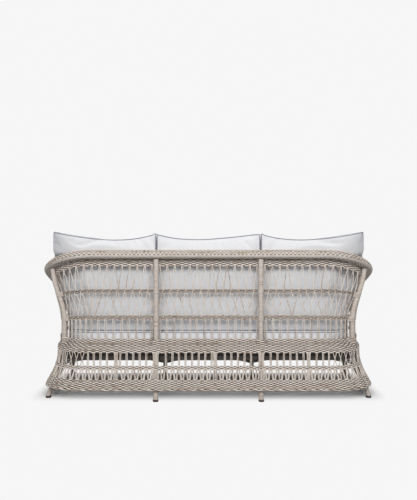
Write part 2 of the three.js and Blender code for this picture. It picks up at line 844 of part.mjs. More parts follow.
function backCushion(side) {
  const points = [];
  const triangles = [];
  const index = new Map();
  const grid = (column, row, layer) => {
    const key = `${column},${row},${layer}`;
    if (!index.has(key)) {
      const across = column / cushionColumns;
      const up = row / cushionRows;
      const rear = backCushionPoint(side, across, up, false);
      const front = backCushionPoint(side, across, up, true);
      const middle = rear.clone().lerp(front, 0.5);
      const inward = new THREE.Vector3(0, 0, row === cushionRows ? -backCushionDraw : 0);
      const sideways = column === 0 ? backCushionDraw : -backCushionDraw;
      if (column % cushionColumns === 0) inward.x = (side || 1) * sideways;
      middle.add(inward);
      index.set(key, points.push([rear, middle, front][layer]) - 1);
    }
    return index.get(key);
  };
  const quad = (a, b, c, d) => triangles.push([a, b, c], [a, c, d]);
  for (let column = 0; column < cushionColumns; column += 1) {
    for (let row = 0; row < cushionRows; row += 1) {
      quad(grid(column, row, 0), grid(column, row + 1, 0),
        grid(column + 1, row + 1, 0), grid(column + 1, row, 0));
      quad(grid(column, row, 2), grid(column + 1, row, 2),
        grid(column + 1, row + 1, 2), grid(column, row + 1, 2));
    }
  }
  for (let layer = 0; layer < 2; layer += 1) {
    for (let column = 0; column < cushionColumns; column += 1) {
      quad(grid(column, 0, layer), grid(column + 1, 0, layer),
        grid(column + 1, 0, layer + 1), grid(column, 0, layer + 1));
      quad(grid(column, cushionRows, layer), grid(column, cushionRows, layer + 1),
        grid(column + 1, cushionRows, layer + 1), grid(column + 1, cushionRows, layer));
    }
    for (let row = 0; row < cushionRows; row += 1) {
      quad(grid(0, row, layer), grid(0, row, layer + 1),
        grid(0, row + 1, layer + 1), grid(0, row + 1, layer));
      quad(grid(cushionColumns, row, layer), grid(cushionColumns, row + 1, layer),
        grid(cushionColumns, row + 1, layer + 1), grid(cushionColumns, row, layer + 1));
    }
  }
  return closedGeometry(points, triangles);
}

// Materials and assembly

const finishes = {
  wicker: { color: 0xbeb2a5, roughness: 0.75, metalness: 0 },
  wrap: { color: 0xc6b9ab, roughness: 0.7, metalness: 0 },
  frame: { color: 0x4a443f, roughness: 0.5, metalness: 0.4 },
  deck: { color: 0x1d1c1b, roughness: 0.9, metalness: 0 },
  foot: { color: 0x3a2c24, roughness: 0.5, metalness: 0 },
  cloth: { color: 0xe4e5e9, roughness: 0.95, metalness: 0 },
};

const sofa = new THREE.Group();

function add(name, geometry, finish) {
  const mesh = new THREE.Mesh(geometry, new THREE.MeshStandardMaterial(finishes[finish]));
  mesh.name = name;
  sofa.add(mesh);
}

const sideNames = [[-1, 'left'], [1, 'right']];

function addRim() {
  add('top_rim_roll', rimRoll(), 'wicker');
  add('top_rim_tube', rimTube(), 'frame');
  for (const [side, name] of sideNames) add(`arm_end_cap_${name}`, rimEndCap(side), 'wicker');
}

async function addBands() {
  add('collar_band', wallBand(sideEnd, collarLow, wallTop), 'wicker');
  add('upper_back_band', wallBand(upperBandEnd, upperLowAt, upperHighAt), 'wicker');
  add('middle_band', wallBand(sideEnd, middleLowAt, middleHighAt), 'wicker');
  add('waist_band', await waistBand(), 'wicker');
  add('skirt_middle_band', skirtBand(skirtBandLow, skirtBandHigh), 'wicker');
  add('skirt_bottom_band', skirtBand(bottomBandLow, bottomBandHigh), 'wicker');
  add('front_apron', frontApron(), 'wicker');
}

// Each net has one piece between the corner poles and one round each arm
function addNet(name, net, pitch, low, high, out, end) {
  const joint = cornerPolePlace;
  add(`back_${name}`, net(-joint, joint, pitch, low, high, out), 'wicker');
  for (const [side, hand] of sideNames) {
    add(`arm_${name}_${hand}`, net(side * joint, side * end, pitch, low, high, out), 'wicker');
  }
}

function addNets() {
  const netEnd = sideEnd - netNodeHalf;
  const skirtMiddle = (skirtInner + skirtOuter) / 2;
  const collarEdge = edgeLine(collarLow);
  const upperLowEdge = edgeLine(upperLowAt, upperBandEnd);
  const armNetTop = (place) => {
    return Math.abs(place) > upperBandEnd + netPitch / 2 ? collarEdge(place) : upperLowEdge(place);
  };
  add('back_net_upper', zigzagNet(-upperBandEnd, upperBandEnd, netPitch,
    edgeLine(upperHighAt, upperBandEnd), collarEdge, wallMiddle), 'wicker');
  addNet('net_middle', crossedNet, netPitch, edgeLine(middleHighAt), armNetTop, wallMiddle, netEnd);
  addNet('net_lower', uprightNet, barPitch, level(waistHigh), edgeLine(middleLowAt),
    wallMiddle, netEnd);
  addNet('skirt_upper', uprightNet, skirtPitch, level(skirtBandHigh), level(waistLow),
    skirtMiddle, netEnd);
  addNet('skirt_lower', zigzagNet, skirtPitch, level(bottomBandHigh), level(skirtBandLow),
    skirtMiddle, netEnd);
}

function addPoles() {
  const names = ['corner_left', 'inner_left', 'inner_right', 'corner_right'];
  rearPolePlaces.forEach((place, index) => {
    add(`rear_pole_${names[index]}`, rearPole(place), 'wrap');
    const [middleLevels, upperLevels] = bindingLevels(place);
    add(`pole_binding_middle_${names[index]}`, poleBinding(place, middleLevels), 'wrap');
    add(`pole_binding_upper_${names[index]}`, poleBinding(place, upperLevels), 'wrap');
    add(`foot_cap_rear_${names[index]}`, footCap(rearPoleMiddle(place)(0), capDiameter), 'foot');
  });
  for (const [side, name] of sideNames) {
    add(`front_post_${name}`, frontPost(side), 'wrap');
    add(`front_leg_${name}`, frontLeg(side), 'wrap');
    const wider = capDiameter + postDiameter - poleDiameter;
    add(`foot_cap_post_${name}`, footCap(frontPostMiddle(side)(0), wider), 'foot');
    add(`foot_cap_front_${name}`, footCap(frontLegMiddle(side)(0), capDiameter), 'foot');
  }
}

function addSeatFrame() {
  add('seat_frame_tube', seatFrameTube(), 'frame');
  add('seat_front_rail', frontRail(), 'frame');
  add('seat_cross_rail_left', crossRail(-innerPoleX), 'frame');
  add('seat_cross_rail_middle', crossRail(0), 'frame');
  add('seat_cross_rail_right', crossRail(innerPoleX), 'frame');
  add('seat_deck', seatDeck(), 'deck');
}

function addCushions() {
  add('seat_cushion_middle', seatCushion(middleSeatOutline()), 'cloth');
  add('back_cushion_middle', backCushion(0), 'cloth');
  for (const [side, name] of sideNames) {
    add(`seat_cushion_${name}`, seatCushion(outerSeatOutline(side)), 'cloth');
    add(`back_cushion_${name}`, backCushion(side), 'cloth');
  }
}

addRim();
await addBands();
addNets();
addPoles();
addSeatFrame();
addCushions();

export default sofa;
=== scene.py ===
"""Three-seat wicker garden sofa: rolled rim, open net back, flared skirt, wound poles and cushions.

The visible pieces are built round the packed frame. Lengths are metres: X runs along the sofa, -Y is
the front, +Z is up and the floor is Z = 0.
"""

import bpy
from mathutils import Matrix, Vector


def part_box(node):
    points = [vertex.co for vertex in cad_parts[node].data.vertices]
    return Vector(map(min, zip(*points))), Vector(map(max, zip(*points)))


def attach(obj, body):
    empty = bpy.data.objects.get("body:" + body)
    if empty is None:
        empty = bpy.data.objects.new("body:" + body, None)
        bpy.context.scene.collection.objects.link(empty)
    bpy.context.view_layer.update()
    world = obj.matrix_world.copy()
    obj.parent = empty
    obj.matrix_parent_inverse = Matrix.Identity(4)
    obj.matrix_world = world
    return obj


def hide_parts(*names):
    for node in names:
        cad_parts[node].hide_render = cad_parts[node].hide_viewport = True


bl_info = {
    "name": "Wicker garden sofa",
    "version": (1, 0, 0),
    "blender": (4, 5, 0),
    "location": "3D View > Sidebar > Sofa",
    "description": "Woven bands, nets, wrapped poles and loose cushions of a three-seat garden sofa",
    "category": "Add Mesh",
}

import math
from functools import partial

import bpy
import numpy as np
from bpy.props import FloatProperty, FloatVectorProperty, IntProperty, PointerProperty

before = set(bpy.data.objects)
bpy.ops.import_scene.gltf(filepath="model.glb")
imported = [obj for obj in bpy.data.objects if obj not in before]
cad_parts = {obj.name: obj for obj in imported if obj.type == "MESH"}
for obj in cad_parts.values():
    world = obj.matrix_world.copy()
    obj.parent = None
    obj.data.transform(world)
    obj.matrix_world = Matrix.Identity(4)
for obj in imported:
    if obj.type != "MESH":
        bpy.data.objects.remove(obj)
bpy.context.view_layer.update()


def middle(node):
    """Middle of a frame node's box."""
    low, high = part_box(node)
    return (low + high) / 2


# Sizes read from the frame
FIT_GAP = 0.0003
ROLL_LOW, ROLL_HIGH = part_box("top_rim_roll")
COLLAR_LOW, COLLAR_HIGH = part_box("collar_band")
MIDDLE_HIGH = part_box("middle_band")[1]
MIDDLE_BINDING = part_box("pole_binding_middle_inner_right")
UPPER_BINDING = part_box("pole_binding_upper_inner_right")
WAIST_BOX_LOW, WAIST_BOX_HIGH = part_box("waist_band")
SKIRT_LOW, SKIRT_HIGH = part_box("skirt_middle_band")
BOTTOM_LOW, BOTTOM_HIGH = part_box("skirt_bottom_band")
APRON_LOW, APRON_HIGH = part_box("front_apron")
POLE_LOW, POLE_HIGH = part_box("rear_pole_inner_right")
FOOT_CAP_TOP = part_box("foot_cap_post_right")[1].z
SEAT_LOW, SEAT_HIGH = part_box("seat_cushion_middle")
BACK_LOW, BACK_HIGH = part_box("back_cushion_middle")
END_CAP = middle("arm_end_cap_right")
INNER_FOOT = middle("foot_cap_rear_inner_right")
POST_FOOT = middle("foot_cap_post_right")
BINDING_LAP = 0.005
MIDDLE_BAND = (MIDDLE_BINDING[0].z + BINDING_LAP, MIDDLE_BINDING[1].z - BINDING_LAP)
UPPER_BAND = (UPPER_BINDING[0].z + BINDING_LAP, UPPER_BINDING[1].z - BINDING_LAP)
WAIST_LOW = WAIST_BOX_LOW.z
WAIST_HIGH = WAIST_BOX_HIGH.z
BACK_HEIGHT = ROLL_HIGH.z
ROLL_HEIGHT = BACK_HEIGHT - COLLAR_HIGH.z - FIT_GAP
ROLL_WIDTH = 2 * (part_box("arm_end_cap_right")[1].x - END_CAP.x)
ARM_HEIGHT = ROLL_LOW.z + ROLL_HEIGHT
COLLAR_HEIGHT = ROLL_LOW.z - FIT_GAP - COLLAR_LOW.z
INNER_POLE_X = INNER_FOOT.x
POLE_RADIUS = (POLE_HIGH.x - POLE_LOW.x) / 2
POLE_LINE = middle("pole_binding_upper_inner_right").y
END_SPLAY = INNER_FOOT.y - POLE_LINE
WALL_OUTER = MIDDLE_HIGH.y - POLE_LINE
ARM_SPREAD = 0.084
ARM_SPREAD_RUN = 0.20
ARM_HALF = WAIST_BOX_HIGH.x - (WAIST_BOX_HIGH.y - POLE_LINE)
WAIST_HALF = ARM_HALF - ARM_SPREAD
POST_INSET = POST_FOOT.y + POLE_LINE + END_SPLAY
SIDE_SPLAY = POST_FOOT.x - WAIST_HALF + POST_INSET
POST_RADIUS = 0.019

# Shape of the plan that the whole wall follows
ROLL_INSET = 0.015
CORNER_WIDTH = 0.236
CORNER_DEPTH_LOW = 0.26
CORNER_DEPTH_TOP = 0.30
CORNER_RUN = 0.45
CORNER_POWER_FOOT = 2.9
CORNER_POWER_LOW = 2.3
CORNER_POWER_TOP = 2.0
CORNER_POLE_SHARE = 0.6
FRONT_CORNER_RADIUS = 0.04
SPLAY_POWER = 1.3
MIDDLE_DROP_SHARE = 0.25
UPPER_DROP_SHARE = 0.5
COLLAR_CLEARANCE = 0.016
TOP_HALF = ROLL_HIGH.x - ROLL_WIDTH / 2 + ROLL_INSET
ARM_TUCK = TOP_HALF - ROLL_INSET - END_CAP.x
STRAIGHT_HALF = WAIST_HALF - CORNER_WIDTH
CORNER_END = STRAIGHT_HALF + CORNER_RUN
CORNER_POLE = STRAIGHT_HALF + CORNER_RUN * CORNER_POLE_SHARE
SIDE_RUN = 2 * POLE_LINE - CORNER_DEPTH_LOW - FRONT_CORNER_RADIUS
SIDE_END = CORNER_END + SIDE_RUN
FRONT_CORNER_END = SIDE_END + FRONT_CORNER_RADIUS * math.pi / 2
FRONT_MIDDLE = FRONT_CORNER_END + ARM_HALF - FRONT_CORNER_RADIUS
ARM_END = SIDE_END + FRONT_CORNER_RADIUS - POLE_LINE - ROLL_LOW.y

SIDES = ((-1, "left"), (1, "right"))
REAR_POLES = (
    ("corner_left", -CORNER_POLE),
    ("inner_left", -INNER_POLE_X),
    ("inner_right", INNER_POLE_X),
    ("corner_right", CORNER_POLE),
)


def srgb(red, green, blue):
    """Linear colour of a colour that is named in 0 to 255 screen values."""
    return tuple(((level / 255 + 0.055) / 1.055) ** 2.4 for level in (red, green, blue))


def metres(name, description, default):
    return FloatProperty(name=name, description=description, default=default, unit="LENGTH")


def number(name, description, default, subtype="NONE"):
    return FloatProperty(name=name, description=description, default=default, subtype=subtype)


def tint(name, description, *levels):
    return FloatVectorProperty(
        name=name, description=description, default=srgb(*levels), subtype="COLOR")


class WeaveSizes(bpy.types.PropertyGroup):
    """Strands of the woven bands, the rim and the apron."""

    row_height: metres("Row height", "Height of one woven row", 0.0070)
    strand_thickness: metres("Strand thickness", "Thickness of a flat strand", 0.0025)
    depth: metres("Weave depth", "How far a row swings in and out", 0.0032)
    stake_width: metres("Stake width", "Width of the upright stakes", 0.0058)
    back_pitch: metres("Back stake pitch", "Spacing of stakes in the back", 0.023)
    skirt_pitch: metres("Skirt stake pitch", "Spacing of stakes in the skirt", 0.0195)
    rim_pitch: metres("Rim hoop pitch", "Spacing of hoops round the rim", 0.012)
    rope_width: metres("Edge rope", "Thickness of the twisted edge", 0.011)


class NetSizes(bpy.types.PropertyGroup):
    """Open nets of paired stakes."""

    strand: metres("Strand", "Thickness of a net strand", 0.0053)
    back_pitch: metres("Back pitch", "Spacing of the pairs in the back", 0.046)
    skirt_pitch: metres("Skirt pitch", "Spacing of the pairs in the skirt", 0.039)
    rib_strands: IntProperty(
        name="Rib strands", description="Strands side by side in a skirt rib", default=4)


class PoleSizes(bpy.types.PropertyGroup):
    """Wrapping of the poles, posts and legs."""

    wrap_width: metres("Wrap width", "Width of the wound strand", 0.0075)
    wrap_depth: metres("Wrap groove", "Depth between two turns", 0.0008)
    binding_strand: metres("Binding strand", "Width of a binding's strand", 0.0056)


class CushionSizes(bpy.types.PropertyGroup):
    """Loose cushions."""

    piping: metres("Piping", "Thickness of the piping", 0.0055)
    cell: metres("Cloth cell", "Mesh size of the simulated cloth", 0.010)
    pressure: number("Pressure", "Air pressure while it swells", 4.0)
    slack: number("Slack", "Spare cloth in each panel", 0.02, "FACTOR")
    seat_swell: metres("Seat swell", "Most that a seat panel swells", 0.020)
    back_swell: metres("Back swell", "Most that a back panel swells", 0.026)


class SofaColours(bpy.types.PropertyGroup):
    """Colours of the finishes."""

    wicker_light: tint("Wicker, light", "Lightest strands", 236, 228, 220)
    wicker_middle: tint("Wicker, middle", "Most strands", 225, 213, 202)
    wicker_dark: tint("Wicker, dark", "Streaks and darker strands", 168, 148, 132)
    # Painted shade colour: blended into the strands on their edges and where they lie deep in the
    # weave.
    wicker_painted_shade: tint("Wicker, crevices", "Deep in the weave", 100, 78, 61)
    cloth: tint("Cloth", "Cushion cloth", 236, 237, 240)
    piping: tint("Piping", "Cushion piping", 168, 170, 178)
    metal: tint("Frame metal", "Painted seat frame", 74, 68, 63)
    webbing: tint("Webbing", "Seat webbing", 38, 36, 35)
    foot: tint("Foot caps", "Moulded foot caps", 50, 31, 27)


class StudioSettings(bpy.types.PropertyGroup):
    """Camera, floor and light."""

    camera_distance: metres("Camera distance", "From the sofa's middle", 3.73)
    camera_height: metres("Camera height", "Above the floor", 0.90)
    lens: number("Lens", "Focal length in millimetres", 40.5)
    backdrop: tint("Backdrop", "Colour behind the sofa", 246, 246, 246)
    bounce: number("Floor bounce", "Share of light that the floor throws back up", 0.5, "FACTOR")
    overhead_power: number("Overhead lamp", "Power in watts", 16.0)
    rear_power: number("Camera side lamp", "Power in watts", 202.0)
    front_power: number("Front side lamp", "Power in watts", 105.0)
    sky_strength: number("Room light", "Strength of the light from all round", 0.07)


# Plan of the sofa's wall, in places counted from the middle of the back round to the front

def lerp(start, end, share):
    return start + (end - start) * share


def smooth_share(value, low, high):
    """Share from 0 to 1 that eases in and out between two values."""
    share = np.clip((value - low) / (high - low), 0, 1)
    return share * share * (3 - 2 * share)


def splay_share(height):
    return smooth_share(np.clip((WAIST_LOW - height) / WAIST_LOW, 0, 1) ** SPLAY_POWER, 0, 1)


def arm_spread(run, height):
    """How far the arms spread: from the corner poles on above the waist, further forward below."""
    above = smooth_share(height, WAIST_LOW, WAIST_HIGH)
    start = lerp(CORNER_END, CORNER_POLE, above)
    end = lerp(SIDE_END, CORNER_END + ARM_SPREAD_RUN, above)
    return ARM_SPREAD * (1 - splay_share(height)) * smooth_share(run, start, end)


def rim_drop(place):
    return (BACK_HEIGHT - ARM_HEIGHT) * smooth_share(np.abs(place), STRAIGHT_HALF, SIDE_END)


def roll_middle(place):
    return BACK_HEIGHT - ROLL_HEIGHT / 2 - rim_drop(place)


def wall_top(place):
    return BACK_HEIGHT - ROLL_HEIGHT - FIT_GAP - rim_drop(place)


def collar_low(place):
    return wall_top(place) - COLLAR_HEIGHT


def middle_low(place):
    return MIDDLE_BAND[0] - MIDDLE_DROP_SHARE * rim_drop(place)


def middle_high(place):
    return MIDDLE_BAND[1] - MIDDLE_DROP_SHARE * rim_drop(place)


def upper_low(place):
    return UPPER_BAND[0] - UPPER_DROP_SHARE * rim_drop(place)


def upper_high(place):
    return UPPER_BAND[1] - UPPER_DROP_SHARE * rim_drop(place)


def upper_band_end():
    """The upper band ends where the collar comes down to it."""
    places = np.linspace(STRAIGHT_HALF, SIDE_END, 800)
    free = collar_low(places) > upper_high(places) + COLLAR_CLEARANCE
    return float(places[free][-1])


def plan_shape(run, height):
    """Half width, rear line, corner depth and corner power of the wall at a height."""
    splay = splay_share(height)
    flare_low = lerp(MIDDLE_BAND[1], WAIST_HIGH, smooth_share(run, STRAIGHT_HALF, SIDE_END))
    flare = smooth_share(height, flare_low, wall_top(run))
    tuck = ARM_TUCK * smooth_share(run, CORNER_END, SIDE_END)
    half = lerp(WAIST_HALF + arm_spread(run, height), TOP_HALF - tuck, flare) + SIDE_SPLAY * splay
    rear = POLE_LINE + END_SPLAY * splay
    depth = lerp(CORNER_DEPTH_LOW, CORNER_DEPTH_TOP, flare)
    power = lerp(lerp(CORNER_POWER_LOW, CORNER_POWER_FOOT, splay), CORNER_POWER_TOP, flare)
    return half, rear, depth, power


def plan_point(place, height, offset):
    """Points moved outwards from the pole line, and the outward directions there."""
    place, height, offset = np.broadcast_arrays(
        np.asarray(place, float), np.asarray(height, float), np.asarray(offset, float))
    run = np.abs(place)
    half, rear, depth, power = (
        np.broadcast_to(part, run.shape) for part in plan_shape(run, height))
    x, y = run.copy(), rear.copy()
    out_x, out_y = np.zeros_like(run), np.ones_like(run)

    corner = (run > STRAIGHT_HALF) & (run <= CORNER_END)
    angle = (run[corner] - STRAIGHT_HALF) / CORNER_RUN * math.pi / 2
    n = power[corner]
    sine, cosine = np.sin(angle), np.maximum(np.cos(angle), 0)
    reach = (sine ** n + cosine ** n) ** (-1 / n)
    width = half[corner] - STRAIGHT_HALF
    x[corner] = STRAIGHT_HALF + width * reach * sine
    y[corner] = rear[corner] - depth[corner] * (1 - reach * cosine)
    slope_x = (reach * sine) ** (n - 1) / width
    slope_y = (reach * cosine) ** (n - 1) / depth[corner]
    length = np.hypot(slope_x, slope_y)
    out_x[corner], out_y[corner] = slope_x / length, slope_y / length

    side = (run > CORNER_END) & (run <= SIDE_END)
    share = (run[side] - CORNER_END) / SIDE_RUN
    x[side] = half[side]
    y[side] = lerp(rear[side] - depth[side], FRONT_CORNER_RADIUS - rear[side], share)
    out_x[side], out_y[side] = 1, 0

    turn = (run > SIDE_END) & (run <= FRONT_CORNER_END)
    angle = (run[turn] - SIDE_END) / FRONT_CORNER_RADIUS
    out_x[turn], out_y[turn] = np.cos(angle), -np.sin(angle)
    x[turn] = half[turn] - FRONT_CORNER_RADIUS * (1 - out_x[turn])
    y[turn] = FRONT_CORNER_RADIUS - rear[turn] + FRONT_CORNER_RADIUS * out_y[turn]

    front = run > FRONT_CORNER_END
    share = (run[front] - FRONT_CORNER_END) / (FRONT_MIDDLE - FRONT_CORNER_END)
    x[front] = (half[front] - FRONT_CORNER_RADIUS) * (1 - share)
    y[front] = -rear[front]
    out_x[front], out_y[front] = 0, -1

    hand = np.where(place < 0, -1.0, 1.0)
    outward = np.stack([hand * out_x, out_y, np.zeros_like(x)], axis=-1)
    points = np.stack([hand * x, y, height], axis=-1) + outward * offset[..., None]
    return points, outward


UP = np.array([0.0, 0.0, 1.0])
SLOPE_STEP = 0.001


def unit(vectors):
    return vectors / np.maximum(np.linalg.norm(vectors, axis=-1, keepdims=True), 1e-12)


def step_lengths(points):
    return np.linalg.norm(np.diff(points, axis=0), axis=1)


def lengths_so_far(points):
    """Length along a line of points up to each of them."""
    return np.concatenate([[0], np.cumsum(step_lengths(points))])


def wall_frame(place, height, offset):
    """Points on the wall, with the wall's own normals, which lean with it."""
    here, outward = plan_point(place, height, offset)
    along, up = (
        plan_point(place + aside, height + above, offset)[0]
        - plan_point(place - aside, height - above, offset)[0]
        for aside, above in ((SLOPE_STEP, 0.0), (0.0, SLOPE_STEP)))
    normal = unit(np.cross(along, up))
    facing = np.sign(np.sum(normal * outward, axis=-1, keepdims=True))
    return here, normal * facing


def rim_frame(place):
    """Middle of the roll and its outward direction, straight on past the end of the wall."""
    run = np.minimum(np.abs(place), SIDE_END)
    hand = np.where(place < 0, -1.0, 1.0)
    middles, outward = plan_point(hand * run, roll_middle(run), -ROLL_INSET)
    middles = middles.copy()
    middles[..., 1] -= np.abs(place) - run
    return middles, outward


# Meshes

class Strands:
    """Closed strands, each swept along a line of points, gathered into one mesh."""

    def __init__(self, seed):
        self.random = np.random.default_rng(seed)
        self.points, self.corners, self.sizes, self.uvs = [], [], [], []
        self.tones, self.shades = [], []
        self.count = 0

    def add(self, points, normals, width, thickness, sides=6, closed=False, tone=None, shade=1.0):
        """One strand; its width lies across the normals and may change along it.

        A shade of 0 marks a stretch that lies deep in the weave, where the wicker finish paints it
        in the darker shade colour as painted shade.
        """
        points, normals = np.asarray(points, float), np.asarray(normals, float)
        steps = len(points)
        width = np.broadcast_to(width, steps)[:, None, None]
        thickness = np.broadcast_to(thickness, steps)[:, None, None]
        if closed:
            ahead = np.roll(points, -1, axis=0) - np.roll(points, 1, axis=0)
        else:
            ahead = np.gradient(points, axis=0)
        ahead = unit(ahead)
        side = unit(np.cross(normals, ahead))
        out = np.cross(ahead, side)
        angle = 2 * math.pi * np.arange(sides) / sides
        ring = (width / 2 * np.cos(angle)[None, :, None] * side[:, None, :]
                + thickness / 2 * np.sin(angle)[None, :, None] * out[:, None, :])
        if tone is None:
            tone = self.random.random()
        self.add_rings(points, points[:, None, :] + ring, tone,
                       np.broadcast_to(shade, steps)[:, None], closed)

    def add_rings(self, line, rings, tones, shades, closed=False):
        """Rings of points along a line, joined by faces, with a tone and a painted shade at each
        point.
        """
        steps, sides = rings.shape[:2]
        self.points.append(rings.reshape(-1, 3))
        self.tones.append(np.broadcast_to(tones, (steps, sides)).ravel())
        self.shades.append(np.broadcast_to(shades, (steps, sides)).ravel())
        self.add_faces(line, steps, sides, closed)
        self.count += steps * sides

    def add_faces(self, points, steps, sides, closed):
        length = lengths_so_far(points)
        last = steps if closed else steps - 1
        ring, side = np.meshgrid(np.arange(last), np.arange(sides), indexing="ij")
        ring, side = ring.ravel(), side.ravel()
        next_ring, next_side = (ring + 1) % steps, (side + 1) % sides
        quads = np.stack([ring * sides + side, ring * sides + next_side,
                          next_ring * sides + next_side, next_ring * sides + side], axis=1)
        self.corners.append(quads.ravel() + self.count)
        self.sizes.append(np.full(len(quads), 4))
        ends = np.append(length, length[-1] + length[1])
        along = np.stack([ends[ring], ends[ring], ends[ring + 1], ends[ring + 1]], axis=1)
        across = np.stack([side, side + 1, side + 1, side], axis=1) / sides
        self.uvs.append(np.stack([along.ravel(), across.ravel()], axis=1))
        if closed:
            return
        for first, order in ((0, np.arange(sides)[::-1]), ((steps - 1) * sides, np.arange(sides))):
            self.corners.append(first + order + self.count)
            self.sizes.append(np.array([sides]))
            reach = np.full(sides, length[0 if first == 0 else -1])
            self.uvs.append(np.stack([reach, order / sides], axis=1))

    def build(self, name):
        mesh = bpy.data.meshes.new(name)
        fill_mesh(mesh, np.concatenate(self.points), np.concatenate(self.corners),
                  np.concatenate(self.sizes), np.concatenate(self.uvs), "strand")
        for name_of_values, values in (("tone", self.tones), ("shade", self.shades)):
            layer = mesh.attributes.new(name_of_values, "FLOAT", "POINT")
            layer.data.foreach_set("value", np.concatenate(values).astype(np.float32))
        return link_object(name, mesh)

    def weave(self, name, nodes=(), slot="wicker"):
        """Turns the strands into one wicker piece, in the place of its frame nodes."""
        settle(self.build(name), finish("wicker"), replaces=nodes)


def fill_mesh(mesh, points, corners, sizes, uvs, uv_name):
    """Writes points and faces of any size into an empty mesh, smooth shaded, with one UV map."""
    mesh.vertices.add(len(points))
    mesh.vertices.foreach_set("co", np.asarray(points, np.float32).ravel())
    mesh.loops.add(len(corners))
    mesh.loops.foreach_set("vertex_index", np.asarray(corners, np.int32))
    mesh.polygons.add(len(sizes))
    starts = np.concatenate([[0], np.cumsum(sizes)[:-1]])
    mesh.polygons.foreach_set("loop_start", starts.astype(np.int32))
    mesh.polygons.foreach_set("use_smooth", np.ones(len(sizes), bool))
    mesh.update(calc_edges=True)
    layer = mesh.uv_layers.new(name=uv_name)
    layer.data.foreach_set("uv", np.asarray(uvs, np.float32).ravel())
    mesh.update()


def link_object(name, mesh):
    piece = bpy.data.objects.new(name, mesh)
    bpy.context.scene.collection.objects.link(piece)
    return piece


def settle(piece, material, body="root", replaces=()):
    """Gives a finished piece its material and its body, and hides the frame nodes that it stands
    for.
    """
    piece.data.materials.clear()
    piece.data.materials.append(material)
    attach(piece, body)
    if replaces:
        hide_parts(*replaces)


def pick(piece):
    """Leaves only this piece selected and active."""
    for other in bpy.context.selected_objects:
        other.select_set(False)
    piece.select_set(True)
    bpy.context.view_layer.objects.active = piece


# Materials

class NodeTree:
    """Nodes under construction, in a material or in the world."""

    def __init__(self, tree):
        self.nodes, self.links = tree.nodes, tree.links

    def add(self, kind, inputs=None, **settings):
        """A node with its inputs linked where they are sockets and set where they are values."""
        node = self.nodes.new(kind)
        for key, value in settings.items():
            setattr(node, key, value)
        for key, value in (inputs or {}).items():
            if isinstance(value, bpy.types.NodeSocket):
                self.links.new(value, node.inputs[key])
            else:
                node.inputs[key].default_value = value
        return node

    def mapped(self, source, scale, shift=None):
        """A coordinate scaled, and shifted by a value along its third axis."""
        inputs = {"Vector": source, "Scale": scale}
        if shift is not None:
            lift = self.add("ShaderNodeMath", {0: shift, 1: 37.0}, operation="MULTIPLY")
            place = self.add("ShaderNodeCombineXYZ", {"Z": lift.outputs[0]})
            inputs["Location"] = place.outputs[0]
        return self.add("ShaderNodeMapping", inputs).outputs[0]

    def noise(self, vector, scale=1.0, detail=2.0):
        inputs = {"Vector": vector, "Scale": scale, "Detail": detail}
        return self.add("ShaderNodeTexNoise", inputs).outputs[0]

    def wave(self, vector, scale, distortion, direction, detail=2.0):
        inputs = {"Vector": vector, "Scale": scale, "Distortion": distortion, "Detail": detail}
        return self.add("ShaderNodeTexWave", inputs, bands_direction=direction).outputs["Fac"]

    def ramp(self, value, *stops):
        """A colour ramp of (position, colour) stops."""
        node = self.add("ShaderNodeValToRGB", {"Fac": value})
        elements = node.color_ramp.elements
        while len(elements) < len(stops):
            elements.new(0.5)
        for element, (position, colour) in zip(elements, stops):
            element.position = position
            element.color = (*colour, 1)
        return node.outputs[0]

    def blend(self, share, first, second):
        """A mix of two colours, each a socket or the three parts of a colour."""
        first, second = (value if isinstance(value, bpy.types.NodeSocket) else (*value, 1)
                         for value in (first, second))
        inputs = {0: share, 6: first, 7: second}
        return self.add("ShaderNodeMix", inputs, data_type="RGBA").outputs[2]

    def math(self, operation, first, second=0.0):
        return self.add("ShaderNodeMath", {0: first, 1: second}, operation=operation).outputs[0]

    def remap(self, value, start, end, low=0.0, high=1.0):
        """Turns start to end into low to high, and holds what lies outside at these."""
        inputs = {"Value": value, "From Min": start, "From Max": end, "To Min": low, "To Max": high}
        return self.add("ShaderNodeMapRange", inputs).outputs[0]

    def uv(self, name):
        return self.add("ShaderNodeUVMap", uv_map=name).outputs[0]

    def attribute(self, name):
        return self.add("ShaderNodeAttribute", attribute_name=name).outputs["Fac"]

    def object_place(self):
        return self.add("ShaderNodeTexCoord").outputs["Object"]

    def show(self, output, share, first, second):
        """Sends a mix of two shaders to the tree's output."""
        mixed = self.add("ShaderNodeMixShader", {0: share, 1: first, 2: second})
        self.links.new(mixed.outputs[0], self.nodes[output].inputs["Surface"])


class Finish(NodeTree):
    """A material under construction: a Principled shader and the nodes that feed it."""

    def __init__(self, name, roughness, metallic=0.0):
        self.material = bpy.data.materials.new(name)
        self.material.use_nodes = True
        super().__init__(self.material.node_tree)
        self.shader = self.nodes["Principled BSDF"]
        self.set("Roughness", roughness)
        self.set("Metallic", metallic)

    def set(self, name, value):
        self.shader.inputs[name].default_value = value

    def bump(self, height, strength, distance):
        inputs = {"Height": height, "Strength": strength, "Distance": distance}
        normal = self.add("ShaderNodeBump", inputs).outputs[0]
        self.links.new(normal, self.shader.inputs["Normal"])

    def colour(self, socket):
        self.links.new(socket, self.shader.inputs["Base Color"])


finishes = {}


def finish(name):
    """Makes a material once and hands it out from then on."""
    if name not in finishes:
        finishes[name] = FINISH_MAKERS[name](name, bpy.context.scene.sofa_colours)
    return finishes[name]


def scaled(colour, factor):
    return tuple(part * factor for part in colour)


